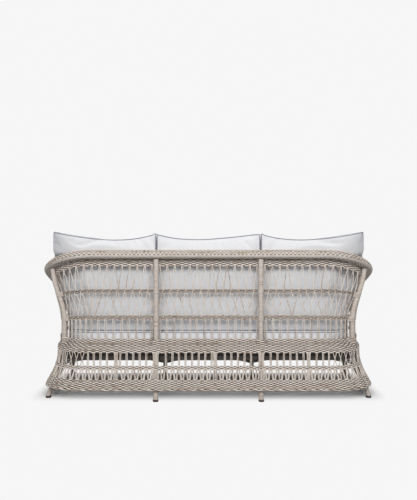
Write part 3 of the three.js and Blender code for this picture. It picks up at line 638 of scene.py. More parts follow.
def wicker_finish(name, colours):
    """Synthetic strands: each has its own tone, with brown streaks and a fine grain along it, and
    painted shade on their edges and deep in the weave.
    """
    made = Finish(name, roughness=0.62)
    strand, tone = made.uv("strand"), made.attribute("tone")
    patches = made.noise(made.mapped(strand, (26, 2, 1), tone), detail=3)
    lengths = made.noise(made.mapped(strand, (3.2, 0.5, 1), tone), detail=2)
    streaks = made.noise(made.mapped(strand, (48, 14, 1), tone), detail=4)
    grain = made.noise(made.mapped(strand, (60, 26, 1), tone), detail=4)
    mixed = made.math("ADD", made.math("MULTIPLY", patches, 0.55),
                      made.math("MULTIPLY", lengths, 0.45))
    own_tone = made.math("MULTIPLY", made.math("SUBTRACT", tone, 0.5), 0.16)
    body = made.ramp(made.math("ADD", mixed, own_tone), (0.32, colours.wicker_dark),
                     (0.43, colours.wicker_middle), (0.56, colours.wicker_light))
    streak_share = made.ramp(streaks, (0.56, (0, 0, 0)), (0.72, (0.5, 0.5, 0.5)))
    streaked = made.blend(streak_share, body, colours.wicker_dark)
    # Painted shade: the shade colour is blended in wherever the mask falls below one.
    made.colour(made.blend(painted_shade_share(made, strand), colours.wicker_painted_shade, streaked))
    made.bump(grain, strength=0.35, distance=0.0006)
    made.set("Specular IOR Level", 0.4)
    return made.material


def painted_shade_share(made, strand):
    """Painted shade mask: one on the raised faces of the strands, less on their edges and deep in
    the weave, where the shade colour is painted in.
    """
    around = made.add("ShaderNodeSeparateXYZ", {0: strand}).outputs["Y"]
    turn = made.math("MULTIPLY", made.math("SUBTRACT", around, 0.25), 2 * math.pi)
    # Both the darker edges and the darker deep stretches are painted shade.
    edge = made.remap(made.math("COSINE", turn), -0.2, 0.6, 0.55, 1.0)
    depth = made.remap(made.attribute("shade"), 0.0, 0.85, 0.05, 1.0)
    return made.math("MULTIPLY", edge, depth)


def cloth_finish(name, colours):
    """Outdoor cloth: an even weave of slightly uneven threads."""
    made = Finish(name, roughness=0.92)
    cloth = made.uv("cloth")
    waves = [made.wave(cloth, threads, 0.6, direction, detail=1.0)
             for direction, threads in (("X", 190.0), ("Y", 175.0))]
    clouds = made.noise(made.mapped(cloth, (5, 5, 5)), detail=3)
    slubs = made.noise(made.mapped(cloth, (40, 420, 1)), detail=2)
    tones = made.math("MULTIPLY", clouds, slubs)
    made.colour(made.ramp(tones, (0.1, scaled(colours.cloth, 0.93)), (0.42, colours.cloth)))
    made.bump(made.math("MULTIPLY", *waves), strength=0.12, distance=0.0004)
    made.set("Sheen Weight", 0.15)
    made.set("Sheen Roughness", 0.5)
    made.set("Specular IOR Level", 0.2)
    return made.material


def piping_finish(name, colours):
    """Corded piping, with slanting threads."""
    made = Finish(name, roughness=0.85)
    cords = made.wave(made.mapped(made.uv("strand"), (420, 3, 1)), 0.35, 0.4, "DIAGONAL")
    made.colour(made.ramp(cords, (0.1, scaled(colours.piping, 0.8)), (0.7, colours.piping)))
    made.bump(cords, strength=0.3, distance=0.0004)
    return made.material


def metal_finish(name, colours):
    """Powder-coated steel with a faint orange-peel surface."""
    made = Finish(name, roughness=0.48, metallic=0.2)
    place = made.object_place()
    patches = made.noise(place, scale=9.0, detail=4)
    made.colour(made.ramp(patches, (0.3, scaled(colours.metal, 0.75)), (0.7, colours.metal)))
    made.bump(made.noise(place, scale=420.0, detail=3), strength=0.2, distance=0.0004)
    return made.material


def webbing_finish(name, colours):
    """Woven straps that cross over and under each other."""
    made = Finish(name, roughness=0.86)
    place = made.object_place()
    straps = made.add("ShaderNodeTexChecker", {"Vector": place, "Scale": 16.0}).outputs["Fac"]
    ribs = [made.wave(place, 95.0, 0.3, direction) for direction in ("X", "Y")]
    lines = made.blend(straps, *ribs)
    made.colour(made.ramp(lines, (0.1, colours.webbing), (0.9, scaled(colours.webbing, 2.2))))
    made.bump(lines, strength=0.5, distance=0.001)
    return made.material


def foot_finish(name, colours):
    """Moulded plastic with fine scuffs."""
    made = Finish(name, roughness=0.5)
    place = made.object_place()
    scuffs = made.noise(made.mapped(place, (60, 60, 240)), detail=4)
    made.colour(made.ramp(scuffs, (0.45, colours.foot), (0.8, scaled(colours.foot, 1.9))))
    made.bump(made.noise(place, scale=650.0), strength=0.15, distance=0.0003)
    return made.material


FINISH_MAKERS = {
    "wicker": wicker_finish,
    "cushion_cloth": cloth_finish,
    "cushion_piping": piping_finish,
    "frame_metal": metal_finish,
    "seat_webbing": webbing_finish,
    "foot_plastic": foot_finish,
}


# Weaving

CROSSING_POWER = 0.7
FRONT_WIDENING = 0.3
STAKE_UNEVENNESS = 0.17
STAKE_STEP = 0.011
STAKE_END_SHARE = 0.02
# Stakes are painted in deep shade, as they mostly lie behind the rows.
STAKE_SHADE = 0.1
STEPS_PER_GAP = 3
FIRST_ROW = 0.8
ROW_MARGINS = 0.6
ROPE_LAP = 0.7
ROPE_TURN = 0.13
ARCH_RISE = 0.048


def weave_swing(gaps, row):
    """Where a row passes in front of a stake (1) and behind the next one (-1)."""
    swing = np.cos(math.pi * (gaps + row))
    return np.sign(swing) * np.abs(swing) ** CROSSING_POWER


def brick_width(swing, row_height):
    """A row is wide where it lies in front, over the rows beside it, which lie behind there."""
    return row_height * (1.0 + FRONT_WIDENING * swing)


def row_shade(swing):
    """Painted shade of a row: full where it lies in front and darker where it passes behind."""
    return 0.56 + 0.44 * swing


def uneven_stakes(strands, gaps, steps):
    """Positions, in gaps, of a few steps from stake to stake, with the stakes a little off even."""
    uneven = strands.random.uniform(-STAKE_UNEVENNESS, STAKE_UNEVENNESS, gaps + 1)
    stakes = np.arange(gaps + 1) + uneven
    stakes[0], stakes[-1] = 0, gaps
    return np.interp(np.arange(steps * gaps + 1) / steps, np.arange(gaps + 1), stakes)


def weave_rows(strands, length, place_at, low, high, line, pitch, shade=1.0):
    """Rows of flat strands that pass in front of and behind upright stakes.

    place_at turns a run along the band into a place on the plan; low, high and line give the band's
    edges and its offset from the pole line at a place and a height.
    """
    weave = bpy.context.scene.sofa_weave
    gaps = 2 * max(1, round(length / pitch / 2))
    runs = uneven_stakes(strands, gaps, STEPS_PER_GAP) * length / gaps
    places = place_at(runs)
    bottom, top = low(places), high(places)
    rows = max(3, round(float(np.mean(top - bottom)) / weave.row_height))
    for row in range(rows):
        swing = weave_swing(np.arange(len(runs)) / STEPS_PER_GAP, row)
        heights = lerp(bottom, top, (row + FIRST_ROW) / (rows + ROW_MARGINS))
        here, normal = wall_frame(places, heights, line(places, heights))
        width = brick_width(swing, (top - bottom) / (rows + ROW_MARGINS))
        # Each row gets painted shade: the band's shade times the row's own, darker where it passes
        # behind.
        strands.add(here + normal * (swing * weave.depth)[:, None], normal, width,
                    weave.strand_thickness, shade=shade * row_shade(swing))
    for index in range(0, len(runs), STEPS_PER_GAP):
        tall = top[index] - bottom[index]
        steps = max(3, round(tall / STAKE_STEP))
        end_gap = tall * STAKE_END_SHARE
        heights = np.linspace(bottom[index] + end_gap, top[index] - end_gap, steps)
        spots = np.full(steps, places[index])
        here, normal = wall_frame(spots, heights, line(spots, heights))
        strands.add(here, normal, weave.stake_width, weave.strand_thickness, sides=4,
                    shade=STAKE_SHADE)


def twisted_edge(strands, places, height, offset, width, plies=2):
    """Strands twisted into a rope along a band's edge."""
    here, normal = wall_frame(places, height, offset)
    length = lengths_so_far(here)
    for ply in range(plies):
        angle = 2 * math.pi * (length / ROPE_TURN + ply / plies)
        spoke = normal * np.cos(angle)[:, None] + UP * np.sin(angle)[:, None]
        # Painted shade: each ply is darker where it turns in towards the band.
        strands.add(here + spoke * (width * 0.25), spoke, width * 0.66, width * 0.5,
                    shade=0.55 + 0.45 * np.cos(angle))


def wall_line(places, heights):
    """Middle of the thin weave at the outer face of the wall."""
    return np.full(np.shape(places), WALL_OUTER - weave_half())


def skirt_outer():
    """Outer face of the skirt, counted from the pole line."""
    return BOTTOM_HIGH.y - POLE_LINE - END_SPLAY * float(splay_share(BOTTOM_LOW.z))


def skirt_line(places, heights):
    return np.full(np.shape(places), skirt_outer() - weave_half())


def waist_line(places, heights):
    """The waist leans out from the wall above to the skirt below and bulges round the poles."""
    share = smooth_share(heights, WAIST_HIGH - 0.008, WAIST_LOW + 0.016)
    line = lerp(wall_line(places, heights), skirt_outer() - weave_half(), share)
    bulge = POLE_RADIUS + weave_half() + 0.0006
    for _, pole in REAR_POLES:
        near = np.exp(-((places - pole) / 0.030) ** 4)
        line = np.maximum(line, lerp(line, bulge, near))
    return line


def weave_half():
    weave = bpy.context.scene.sofa_weave
    return weave.depth + weave.strand_thickness / 2


def level(height):
    return lambda places: np.full(np.shape(places), height)


def across(end):
    """Places from the left end to the right end of a band that goes round the back."""
    return lambda runs: runs - end


class SOFA_OT_wall_bands(bpy.types.Operator):
    """Weave the collar, the upper band and the middle band of the back and arms"""

    bl_idname = "sofa.wall_bands"
    bl_label = "Wall bands"

    def execute(self, context):
        pitch = context.scene.sofa_weave.back_pitch
        # The last number is each band's painted shade: lower numbers paint the band darker, standing
        # in for the shade it lies in.
        for name, node, end, low, high, seed, shade in (
                ("collar", "collar_band", SIDE_END, collar_low, wall_top, 11, 0.9),
                ("upper_band", "upper_back_band", upper_band_end(), upper_low, upper_high,
                 12, 0.44),
                ("middle_band", "middle_band", SIDE_END, middle_low, middle_high, 13, 0.6)):
            strands = Strands(seed)
            weave_rows(strands, 2 * end, across(end), low, high, wall_line, pitch, shade)
            strands.weave(f"{name}_weave", [node])
        return {"FINISHED"}


class SOFA_OT_waist_band(bpy.types.Operator):
    """Weave the tall waist band, which leans out to the skirt and bulges round the poles"""

    bl_idname = "sofa.waist_band"
    bl_label = "Waist band"

    def execute(self, context):
        strands = Strands(21)
        weave_rows(strands, 2 * SIDE_END, across(SIDE_END), level(WAIST_LOW), level(WAIST_HIGH),
                   waist_line, context.scene.sofa_weave.back_pitch)
        strands.weave("waist_weave", ["waist_band"])
        return {"FINISHED"}


class SOFA_OT_skirt_bands(bpy.types.Operator):
    """Weave the skirt's middle band and its bottom band with the twisted edge"""

    bl_idname = "sofa.skirt_bands"
    bl_label = "Skirt bands"

    def execute(self, context):
        weave = context.scene.sofa_weave
        rope = weave.rope_width
        for name, low, high, seed in (
                ("middle", SKIRT_LOW.z, SKIRT_HIGH.z, 31),
                ("bottom", BOTTOM_LOW.z + rope * ROPE_LAP, BOTTOM_HIGH.z, 32)):
            strands = Strands(seed)
            weave_rows(strands, 2 * SIDE_END, across(SIDE_END), level(low), level(high),
                       skirt_line, weave.skirt_pitch)
            if name == "bottom":
                places = np.linspace(-SIDE_END, SIDE_END, 520)
                line = skirt_outer() - rope / 2
                twisted_edge(strands, places, BOTTOM_LOW.z + rope / 2, line, rope)
            strands.weave(f"skirt_{name}_weave", [f"skirt_{name}_band"])
        return {"FINISHED"}


def apron_low(places):
    """Lower edge of the apron: an arch at each side of the front legs and one between them."""
    run = np.abs(places)
    leg = FRONT_MIDDLE - INNER_POLE_X
    outer = (run - SIDE_END) / (leg - SIDE_END)
    inner = (run - leg) / (2 * (FRONT_MIDDLE - leg))
    share = np.clip(np.where(run < leg, outer, inner), 0, 1)
    return APRON_LOW.z + ARCH_RISE * np.sin(math.pi * share)


def round_front(runs):
    """Places from the right end of the skirt round the front to the left end."""
    half = FRONT_MIDDLE - SIDE_END
    return np.where(runs <= half, SIDE_END + runs, runs - half - FRONT_MIDDLE)


class SOFA_OT_front_apron(bpy.types.Operator):
    """Weave the arched apron under the seat's front edge"""

    bl_idname = "sofa.front_apron"
    bl_label = "Front apron"

    def execute(self, context):
        weave = context.scene.sofa_weave
        rope = weave.rope_width
        strands = Strands(41)
        length = 2 * (FRONT_MIDDLE - SIDE_END)
        weave_rows(strands, length, round_front, lambda places: apron_low(places) + rope * ROPE_LAP,
                   level(APRON_HIGH.z - rope * 0.5), skirt_line, weave.skirt_pitch)
        places = round_front(np.linspace(0, length, 340))
        line = skirt_outer() - rope / 2
        twisted_edge(strands, places, apron_low(places) + rope / 2, line, rope)
        twisted_edge(strands, places, np.full(len(places), APRON_HIGH.z - rope / 2), line, rope)
        strands.weave("front_apron_weave", ["front_apron"])
        return {"FINISHED"}


# Rim

def roll_oval(angle, inset):
    """Outward and upward reach of the roll's oval at an angle, drawn in by an inset."""
    return (ROLL_WIDTH / 2 - inset) * np.cos(angle), (ROLL_HEIGHT / 2 - inset) * np.sin(angle)


def roll_path(places, angle, inset):
    """A line along the roll at one angle round its oval, with its normals."""
    middles, outward = rim_frame(places)
    out, up = roll_oval(angle, inset)
    lean_out, lean_up = np.cos(angle) / ROLL_WIDTH, np.sin(angle) / ROLL_HEIGHT
    out, up, lean_out, lean_up = (
        np.asarray(part)[..., None] for part in (out, up, lean_out, lean_up))
    return middles + outward * out + UP * up, unit(outward * lean_out + UP * lean_up)


def even_oval_angles(count):
    """Angles that share the oval's length evenly, starting at the outside."""
    fine = np.linspace(0, 2 * math.pi, 721)
    out, up = roll_oval(fine, 0)
    length = np.concatenate([[0], np.cumsum(np.hypot(np.diff(out), np.diff(up)))])
    return np.interp(np.arange(count) / count * length[-1], length, fine), length[-1]


class SOFA_OT_rolled_rim(bpy.types.Operator):
    """Weave the rolled rim round its hoops, with smooth strands along its outer lower side"""

    bl_idname = "sofa.rolled_rim"
    bl_label = "Rolled rim"

    smooth_low_share = -0.62
    smooth_high_share = -0.10
    smooth_swing = 0.75
    smooth_width = 0.96
    row_count = 24
    row_overlap = 1.04
    hoop_width = 0.004
    hoop_sides = 16
    # The hoops are painted darker, as painted shade under the rows.
    hoop_shade = 0.25

    def execute(self, context):
        weave = context.scene.sofa_weave
        rows, hoops = Strands(51), Strands(52)
        gaps = 2 * round(ARM_END / weave.rim_pitch)
        places = lerp(-ARM_END, ARM_END, uneven_stakes(rows, gaps, 2) / gaps)
        self.wind_rows(rows, places, weave)
        turn = np.linspace(0, 2 * math.pi, self.hoop_sides, endpoint=False)
        for place in places[::2]:
            points, normals = roll_path(np.full(len(turn), place), turn, weave_half())
            hoops.add(points, normals, self.hoop_width, weave.strand_thickness, sides=4,
                      closed=True, shade=self.hoop_shade)
        self.add_shade_core(hoops, places[::6])
        rows.weave("rolled_rim_weave", ["top_rim_roll"])
        hoops.weave("rolled_rim_hoops")
        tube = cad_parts["top_rim_tube"]
        tube.data.materials.clear()
        tube.data.materials.append(finish("frame_metal"))
        return {"FINISHED"}

    def wind_rows(self, rows, places, weave):
        """The rows along the roll: woven, or smooth along its outer lower side."""
        angles, girth = even_oval_angles(self.row_count)
        for row, angle in enumerate(angles):
            if math.cos(angle) > 0 and (
                    self.smooth_low_share < math.sin(angle) <= self.smooth_high_share):
                swing = np.full(len(places), self.smooth_swing)
                width = np.full(len(places), self.smooth_width * girth / self.row_count)
            else:
                swing = weave_swing(np.arange(len(places)) / 2, row)
                width = self.row_overlap * brick_width(swing, girth / self.row_count)
            points, normals = roll_path(places, angle, weave_half())
            rows.add(points + normals * (swing * weave.depth)[:, None], normals, width,
                     weave.strand_thickness, shade=row_shade(swing))

    def add_shade_core(self, strands, places):
        """A core that the rows are wound on, painted in full shade so that the gaps between the rows
        look dark.
        """
        middles, outward = rim_frame(places)
        inset = 2 * weave_half() + 0.001
        strands.add(middles, outward, ROLL_HEIGHT - 2 * inset, ROLL_WIDTH - 2 * inset, sides=14,
                    tone=0.0, shade=0.0)


class SOFA_OT_arm_ends(bpy.types.Operator):
    """Coil a strand into the oval that closes each arm's end"""

    bl_idname = "sofa.arm_ends"
    bl_label = "Arm ends"

    turns = 4.5
    steps = 150
    strand = 0.0072
    strand_thickness = 0.005
    shrink = 0.93
    dome = 0.0035
    front_gap = 0.0062
    shade_backing = 0.003
    shade_backing_inset = 0.004

    def execute(self, context):
        for side, hand in SIDES:
            node = f"arm_end_cap_{hand}"
            low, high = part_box(node)
            strands = Strands(61 + side)
            angle = np.linspace(0, 2 * math.pi * self.turns, self.steps)
            size = 1 - self.shrink * angle / angle[-1]
            aside = (ROLL_WIDTH - self.strand) / 2 * size * np.cos(angle)
            above = (ROLL_HEIGHT - self.strand) / 2 * size * np.sin(angle)
            ahead = low.y + self.front_gap - self.dome * (1 - size ** 2)
            path = np.stack([side * (END_CAP.x + aside), ahead, END_CAP.z + above], axis=1)
            normals = np.tile([0.0, -1.0, 0.0], (len(angle), 1))
            strands.add(path, normals, self.strand, self.strand_thickness, sides=8)
            # A backing disc behind the coil, painted in full shade (tone and shade 0) so that the
            # gaps in the coil look dark.
            back = np.array([[side * END_CAP.x, high.y - depth, END_CAP.z]
                             for depth in (0.0, self.shade_backing)])
            strands.add(back, np.tile(UP, (2, 1)), ROLL_WIDTH - self.shade_backing_inset,
                        ROLL_HEIGHT - self.shade_backing_inset, sides=24, tone=0.0, shade=0.0)
            strands.weave(f"arm_end_coil_{hand}", [node])
        return {"FINISHED"}


# Nets

def net_pair_runs(end, pitch):
    """Even places for pairs of stakes between the two ends."""
    count = 2 * round(end / pitch)
    return -end + 2 * end * (np.arange(count) + 0.5) / count, 2 * end / count


def add_net_strand(strands, places, heights, offset, size):
    """A strand of the net; the offset is a number or follows the place and the height."""
    heights = np.broadcast_to(heights, np.shape(places))
    here, normal = wall_frame(places, heights, offset)
    strands.add(here, normal, size, size * 0.92)


class SOFA_OT_back_nets(bpy.types.Operator):
    """Stretch the open net of paired stakes between the bands of the back and arms"""

    bl_idname = "sofa.back_nets"
    bl_label = "Back nets"

    tuck = 0.010
    pair_share = 0.56
    most_lean = 0.008
    part_start = 0.93
    part_run = 0.74
    cross_stagger = 0.52

    def execute(self, context):
        net = context.scene.sofa_net
        self.size = net.strand
        self.pair = net.strand * self.pair_share
        self.upper_net(net).weave("upper_net", ["back_net_upper"])
        for name, build in (("middle", self.middle_net), ("lower", self.lower_net)):
            nodes = [f"back_net_{name}", f"arm_net_{name}_left", f"arm_net_{name}_right"]
            build(net).weave(f"{name}_net", nodes)
        return {"FINISHED"}

    def upper_net(self, net):
        """Pairs that part below the collar and join their neighbours above the upper band."""
        strands = Strands(71)
        places, pitch = net_pair_runs(upper_band_end(), net.back_pitch)
        share = np.linspace(1, 0, 18)
        parted = self.part_start - share
        shift = lerp(np.clip(parted / self.part_run, 0, 1),
                     smooth_share(parted, 0, self.part_run), 0.4)
        for place in places:
            for side in (-1, 1):
                travel = side * (self.pair + (pitch / 2 - 2 * self.pair) * shift)
                spots = place + travel + self.random_lean(strands) * shift * (1 - shift)
                top, low = collar_low(spots) + self.tuck, upper_high(spots) - self.tuck
                if np.min(top - low) < 3 * self.tuck:
                    continue
                self.add(strands, spots, lerp(low, top, share), 0)
        return strands

    def middle_net(self, net):
        """Pairs that part, cross their neighbours half way and join again."""
        strands = Strands(72)
        places, pitch = net_pair_runs(SIDE_END, net.back_pitch)
        share = np.linspace(1, 0, 18)
        swing = lerp(1 - share, smooth_share(1 - share, 0, 1), 0.5)
        end = upper_band_end()
        for place in places:
            for side in (-1, 1):
                travel = side * lerp(-pitch / 2 + self.pair, pitch / 2 - self.pair, swing)
                travel = travel + self.random_lean(strands) * np.sin(math.pi * share)
                spots = np.clip(place + travel, -SIDE_END, SIDE_END)
                top = np.where(np.abs(spots) < end, upper_low(spots), collar_low(spots)) + self.tuck
                low = middle_high(spots) - self.tuck
                stagger = side * self.size * self.cross_stagger
                self.add(strands, spots, lerp(low, top, share), stagger)
        return strands

    def lower_net(self, net):
        """Nearly upright pairs between the middle band and the waist."""
        strands = Strands(73)
        places, pitch = net_pair_runs(SIDE_END, net.back_pitch)
        share = np.linspace(1, 0, 10)
        for place in places:
            lean = self.random_lean(strands)
            for side in (-1, 1):
                spread = self.pair * (1.1 + 0.9 * np.sin(math.pi * share))
                spots = np.clip(place + side * spread + lean * share, -SIDE_END, SIDE_END)
                heights = lerp(WAIST_HIGH - self.tuck, middle_low(spots) + self.tuck, share)
                self.add(strands, spots, heights, 0)
        return strands

    def add(self, strands, spots, heights, shift):
        add_net_strand(strands, spots, heights, wall_line(spots, heights) + shift, self.size)

    def random_lean(self, strands):
        """A small sideways lean, as hand-set stakes have."""
        return (strands.random.random() - 0.5) * self.most_lean


class SOFA_OT_skirt_nets(bpy.types.Operator):
    """Set the upright and crossed pairs, the zigzag stakes and the wide ribs of the skirt"""

    bl_idname = "sofa.skirt_nets"
    bl_label = "Skirt nets"

    rib_places = (-0.595, -0.04, 0.55)
    pole_places = (-CORNER_POLE, -INNER_POLE_X, INNER_POLE_X, CORNER_POLE)
    cross_start = 0.06
    cross_share = 0.7
    tuck = 0.008
    most_lean = 0.006
    pair_share = 0.66
    pair_stagger = 0.0012
    rib_stagger = 0.0016
    upper_room = 0.24
    lower_room = 0.16

    def execute(self, context):
        net = context.scene.sofa_net
        self.line = skirt_outer() - weave_half()
        self.ribs = [(place, net.rib_strands) for place in self.rib_places]
        self.ribs += [(place, net.rib_strands + 2) for place in self.pole_places]
        for name, build in (("skirt_upper", self.upper_net), ("skirt_lower", self.lower_net)):
            nodes = [f"back_{name}", f"arm_{name}_left", f"arm_{name}_right"]
            build(net).weave(f"{name}_net", nodes)
        return {"FINISHED"}

    def clear_of_ribs(self, place, net, room):
        return all(abs(place - rib) > count * net.strand / 2 + room for rib, count in self.ribs)

    def upper_net(self, net):
        """Upright pairs, crossed near the corners, with ribs that open out at both ends."""
        strands = Strands(81)
        places, pitch = net_pair_runs(SIDE_END, net.skirt_pitch)
        share = np.linspace(0, 1, 8)
        heights = lerp(SKIRT_HIGH.z - self.tuck, WAIST_LOW + self.tuck, share)
        for place in places:
            if not self.clear_of_ribs(place, net, pitch * self.upper_room):
                continue
            lean = (strands.random.random() - 0.5) * self.most_lean
            crossed = STRAIGHT_HALF + self.cross_start < abs(place) < CORNER_END
            for side in (-1, 1):
                if crossed:
                    spots = place + side * pitch * self.cross_share * (share - 0.5)
                else:
                    spots = place + side * net.strand * self.pair_share + lean * (share - 0.5)
                self.add(strands, spots, heights, side * self.pair_stagger, net)
        self.add_ribs(strands, net, heights, 1.0 + 0.55 * (2 * share - 1) ** 4)
        return strands

    def lower_net(self, net):
        """Zigzag pairs, with ribs that spread towards the bottom band."""
        strands = Strands(82)
        places, pitch = net_pair_runs(SIDE_END, net.skirt_pitch)
        share = np.linspace(0, 1, 8)
        heights = lerp(BOTTOM_HIGH.z - self.tuck, SKIRT_LOW.z + self.tuck, share)
        for place in places:
            for side in (-1, 1):
                if not self.clear_of_ribs(place + side * pitch / 4, net, pitch * self.lower_room):
                    continue
                zigzag = place + side * lerp(pitch / 2 - net.strand, net.strand, share)
                for ply in (-0.5, 0.5):
                    spots = np.clip(zigzag + ply * net.strand, -SIDE_END, SIDE_END)
                    self.add(strands, spots, heights, side * self.pair_stagger, net)
        self.add_ribs(strands, net, heights, 1.05 + 0.6 * (1 - share) ** 2)
        return strands

    def add_ribs(self, strands, net, heights, spread):
        for rib, count in self.ribs:
            for index in range(count):
                spots = rib + (index - (count - 1) / 2) * net.strand * spread
                self.add(strands, spots, heights, self.rib_stagger * (index % 2), net)

    def add(self, strands, spots, heights, shift, net):
        add_net_strand(strands, spots, heights, self.line + shift, net.strand)


# Poles, posts, legs, bindings and feet

def pole_middles(place, heights):
    return plan_point(np.full(len(heights), place), heights, 0.0)[0]


def post_middles(side, heights):
    half, rear, _, _ = plan_shape(np.full(len(heights), SIDE_END), heights)
    return np.stack([side * (half - POST_INSET), POST_INSET - rear, heights], axis=1)


def leg_middles(side, heights):
    _, rear, _, _ = plan_shape(np.full(len(heights), FRONT_MIDDLE), heights)
    aside = np.full(len(heights), side * INNER_POLE_X)
    return np.stack([aside, POST_INSET - rear, heights], axis=1)


COLUMN_SIDES = 16
RINGS_PER_TURN = 4
STEPS_PER_TURN = 28
BINDING_THICKNESS = 0.0028
# Bindings are painted a little darker, as painted shade.
BINDING_SHADE = 0.6


def wrapped_column(middles_at, low, high, radius, seed):
    """A pole wound with a flat strand, whose turns stand up between shallow grooves."""
    poles = bpy.context.scene.sofa_poles
    rings = max(8, round((high - low) / poles.wrap_width * RINGS_PER_TURN))
    heights = np.linspace(low, high, rings)
    middles = middles_at(heights)
    angle = 2 * math.pi * np.arange(COLUMN_SIDES) / COLUMN_SIDES
    turns = (heights - low)[:, None] / poles.wrap_width - angle[None, :] / (2 * math.pi)
    crown = np.abs(np.sin(math.pi * turns)) ** 0.5
    reach = radius - poles.wrap_depth * (1 - crown)
    spokes = np.stack([np.cos(angle), np.sin(angle), np.zeros(COLUMN_SIDES)], axis=1)
    strands = Strands(seed)
    tone_of_turn = strands.random.random(int(turns.max()) + 4)
    # Each turn has its own tone; the grooves between turns get painted shade, down to 0.35 at a
    # groove's bottom.
    strands.add_rings(middles, middles[:, None, :] + reach[..., None] * spokes,
                      0.35 + 0.5 * tone_of_turn[np.floor(turns).astype(int) + 1],
                      0.35 + 0.65 * crown)
    along, around = strands.uvs[0].T
    strands.uvs[0] = np.stack([around * 2 * math.pi * radius, along / poles.wrap_width], axis=1)
    return strands


class SOFA_OT_poles(bpy.types.Operator):
    """Wind the rear poles, the front posts and the front legs"""

    bl_idname = "sofa.poles"
    bl_label = "Poles"

    def execute(self, context):
        columns = [(f"rear_pole_{name}", pole_middles, place, POLE_RADIUS, 91 + index)
                   for index, (name, place) in enumerate(REAR_POLES)]
        for side, hand in SIDES:
            columns += [(f"front_post_{hand}", post_middles, side, POST_RADIUS, 101 + side),
                        (f"front_leg_{hand}", leg_middles, side, POLE_RADIUS, 111 + side)]
        low = FOOT_CAP_TOP + FIT_GAP
        for node, middles_at, where, radius, seed in columns:
            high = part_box(node)[1].z
            column = wrapped_column(partial(middles_at, where), low, high, radius, seed)
            column.weave(f"wrapped_{node}", [node], "pole_wrap")
        return {"FINISHED"}


def binding_coil(strands, middles_at, outward, low, high, radius, reach):
    """A strand wound round a pole and the band's edge behind it."""
    width = bpy.context.scene.sofa_poles.binding_strand
    turns = max(3, round((high - low) / width))
    steps = STEPS_PER_TURN * turns
    share = np.arange(steps + 1) / steps
    angle = 2 * math.pi * turns * share + math.pi
    heights = lerp(low + width / 2, high - width / 2, share)
    middles, outward = middles_at(heights), np.tile(outward, (len(share), 1))
    tangent = np.stack([-outward[:, 1], outward[:, 0], np.zeros(len(share))], axis=1)
    pull = -reach * (1 - smooth_share(np.cos(angle), -0.35, 0.35))
    spoke = outward * np.cos(angle)[:, None] + tangent * np.sin(angle)[:, None]
    path = middles + outward * pull[:, None] + spoke * radius
    strands.add(path, spoke, width, BINDING_THICKNESS, shade=BINDING_SHADE)


class SOFA_OT_bindings(bpy.types.Operator):
    """Bind the bands to the rear poles and the front posts"""

    bl_idname = "sofa.bindings"
    bl_label = "Bindings"

    lift = 0.0014
    pole_reach = 0.0225

    def execute(self, context):
        for index, (name, place) in enumerate(REAR_POLES):
            for band in ("middle", "upper"):
                node = f"pole_binding_{band}_{name}"
                low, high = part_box(node)
                strands = Strands(121 + index)
                outward = plan_point([place], (low.z + high.z) / 2, 0.0)[1][0]
                binding_coil(strands, partial(pole_middles, place), outward, low.z, high.z,
                             POLE_RADIUS + self.lift, self.pole_reach)
                strands.weave(f"binding_{band}_{name}", [node], "pole_wrap")
        bands = ((float(middle_low(SIDE_END)), float(middle_high(SIDE_END))),
                 (COLLAR_LOW.z, ROLL_LOW.z - 0.002), (WAIST_LOW, WAIST_HIGH))
        for side, hand in SIDES:
            strands = Strands(131 + side)
            for low, high in bands:
                binding_coil(strands, partial(post_middles, side), [float(side), 0.0, 0.0],
                             low, high, POST_RADIUS + self.lift, 0.0)
            strands.weave(f"post_binding_{hand}", slot="pole_wrap")
        return {"FINISHED"}


class SOFA_OT_foot_caps(bpy.types.Operator):
    """Turn the moulded caps under the poles, posts and legs"""

    bl_idname = "sofa.foot_caps"
    bl_label = "Foot caps"

    edge_angle = math.radians(40)

    def execute(self, context):
        names = [f"rear_{name}" for name, _ in REAR_POLES]
        names += [f"{kind}_{hand}" for kind in ("post", "front") for _, hand in SIDES]
        for name in names:
            self.make_cap(f"foot_cap_{name}")
        return {"FINISHED"}

    def make_cap(self, node):
        """A short cylinder with an inset face at each end and rounded edges."""
        low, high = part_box(node)
        radius, height = (high.x - low.x) / 2, high.z - low.z
        bpy.ops.object.select_all(action="DESELECT")
        bpy.ops.mesh.primitive_cylinder_add(vertices=32, radius=radius, depth=height,
                                            location=(low + high) / 2)
        cap = bpy.context.active_object
        cap.name = f"moulded_{node}"
        bpy.ops.object.transform_apply(location=True, rotation=True, scale=True)
        bpy.ops.object.mode_set(mode="EDIT")
        bpy.ops.mesh.select_all(action="DESELECT")
        bpy.ops.mesh.select_mode(type="FACE")
        bpy.ops.object.mode_set(mode="OBJECT")
        for face in cap.data.polygons:
            face.select = abs(face.normal.z) > 0.9
        bpy.ops.object.mode_set(mode="EDIT")
        bpy.ops.mesh.inset(thickness=radius * 0.22, use_individual=True)
        bpy.ops.object.mode_set(mode="OBJECT")
        bevel = cap.modifiers.new("rounded edge", "BEVEL")
        bevel.width = height * 0.2
        bevel.segments = 3
        bevel.angle_limit = self.edge_angle
        pick(cap)
        bpy.ops.object.modifier_apply(modifier=bevel.name)
        bpy.ops.object.shade_smooth_by_angle(angle=self.edge_angle)
        settle(cap, finish("foot_plastic"), replaces=[node])


class SOFA_OT_seat_frame(bpy.types.Operator):
    """Paint the seat frame's rails and cover its deck with webbing"""

    bl_idname = "sofa.seat_frame"
    bl_label = "Seat frame"

    rails = ("seat_frame_tube", "seat_front_rail", "seat_cross_rail_left", "seat_cross_rail_middle",
             "seat_cross_rail_right")

    def execute(self, context):
        for name in self.rails:
            self.paint(name, "frame_metal")
        self.paint("seat_deck", "seat_webbing")
        return {"FINISHED"}

    def paint(self, name, slot):
        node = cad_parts[name]
        node.data.materials.clear()
        node.data.materials.append(finish(slot))


# Cushions

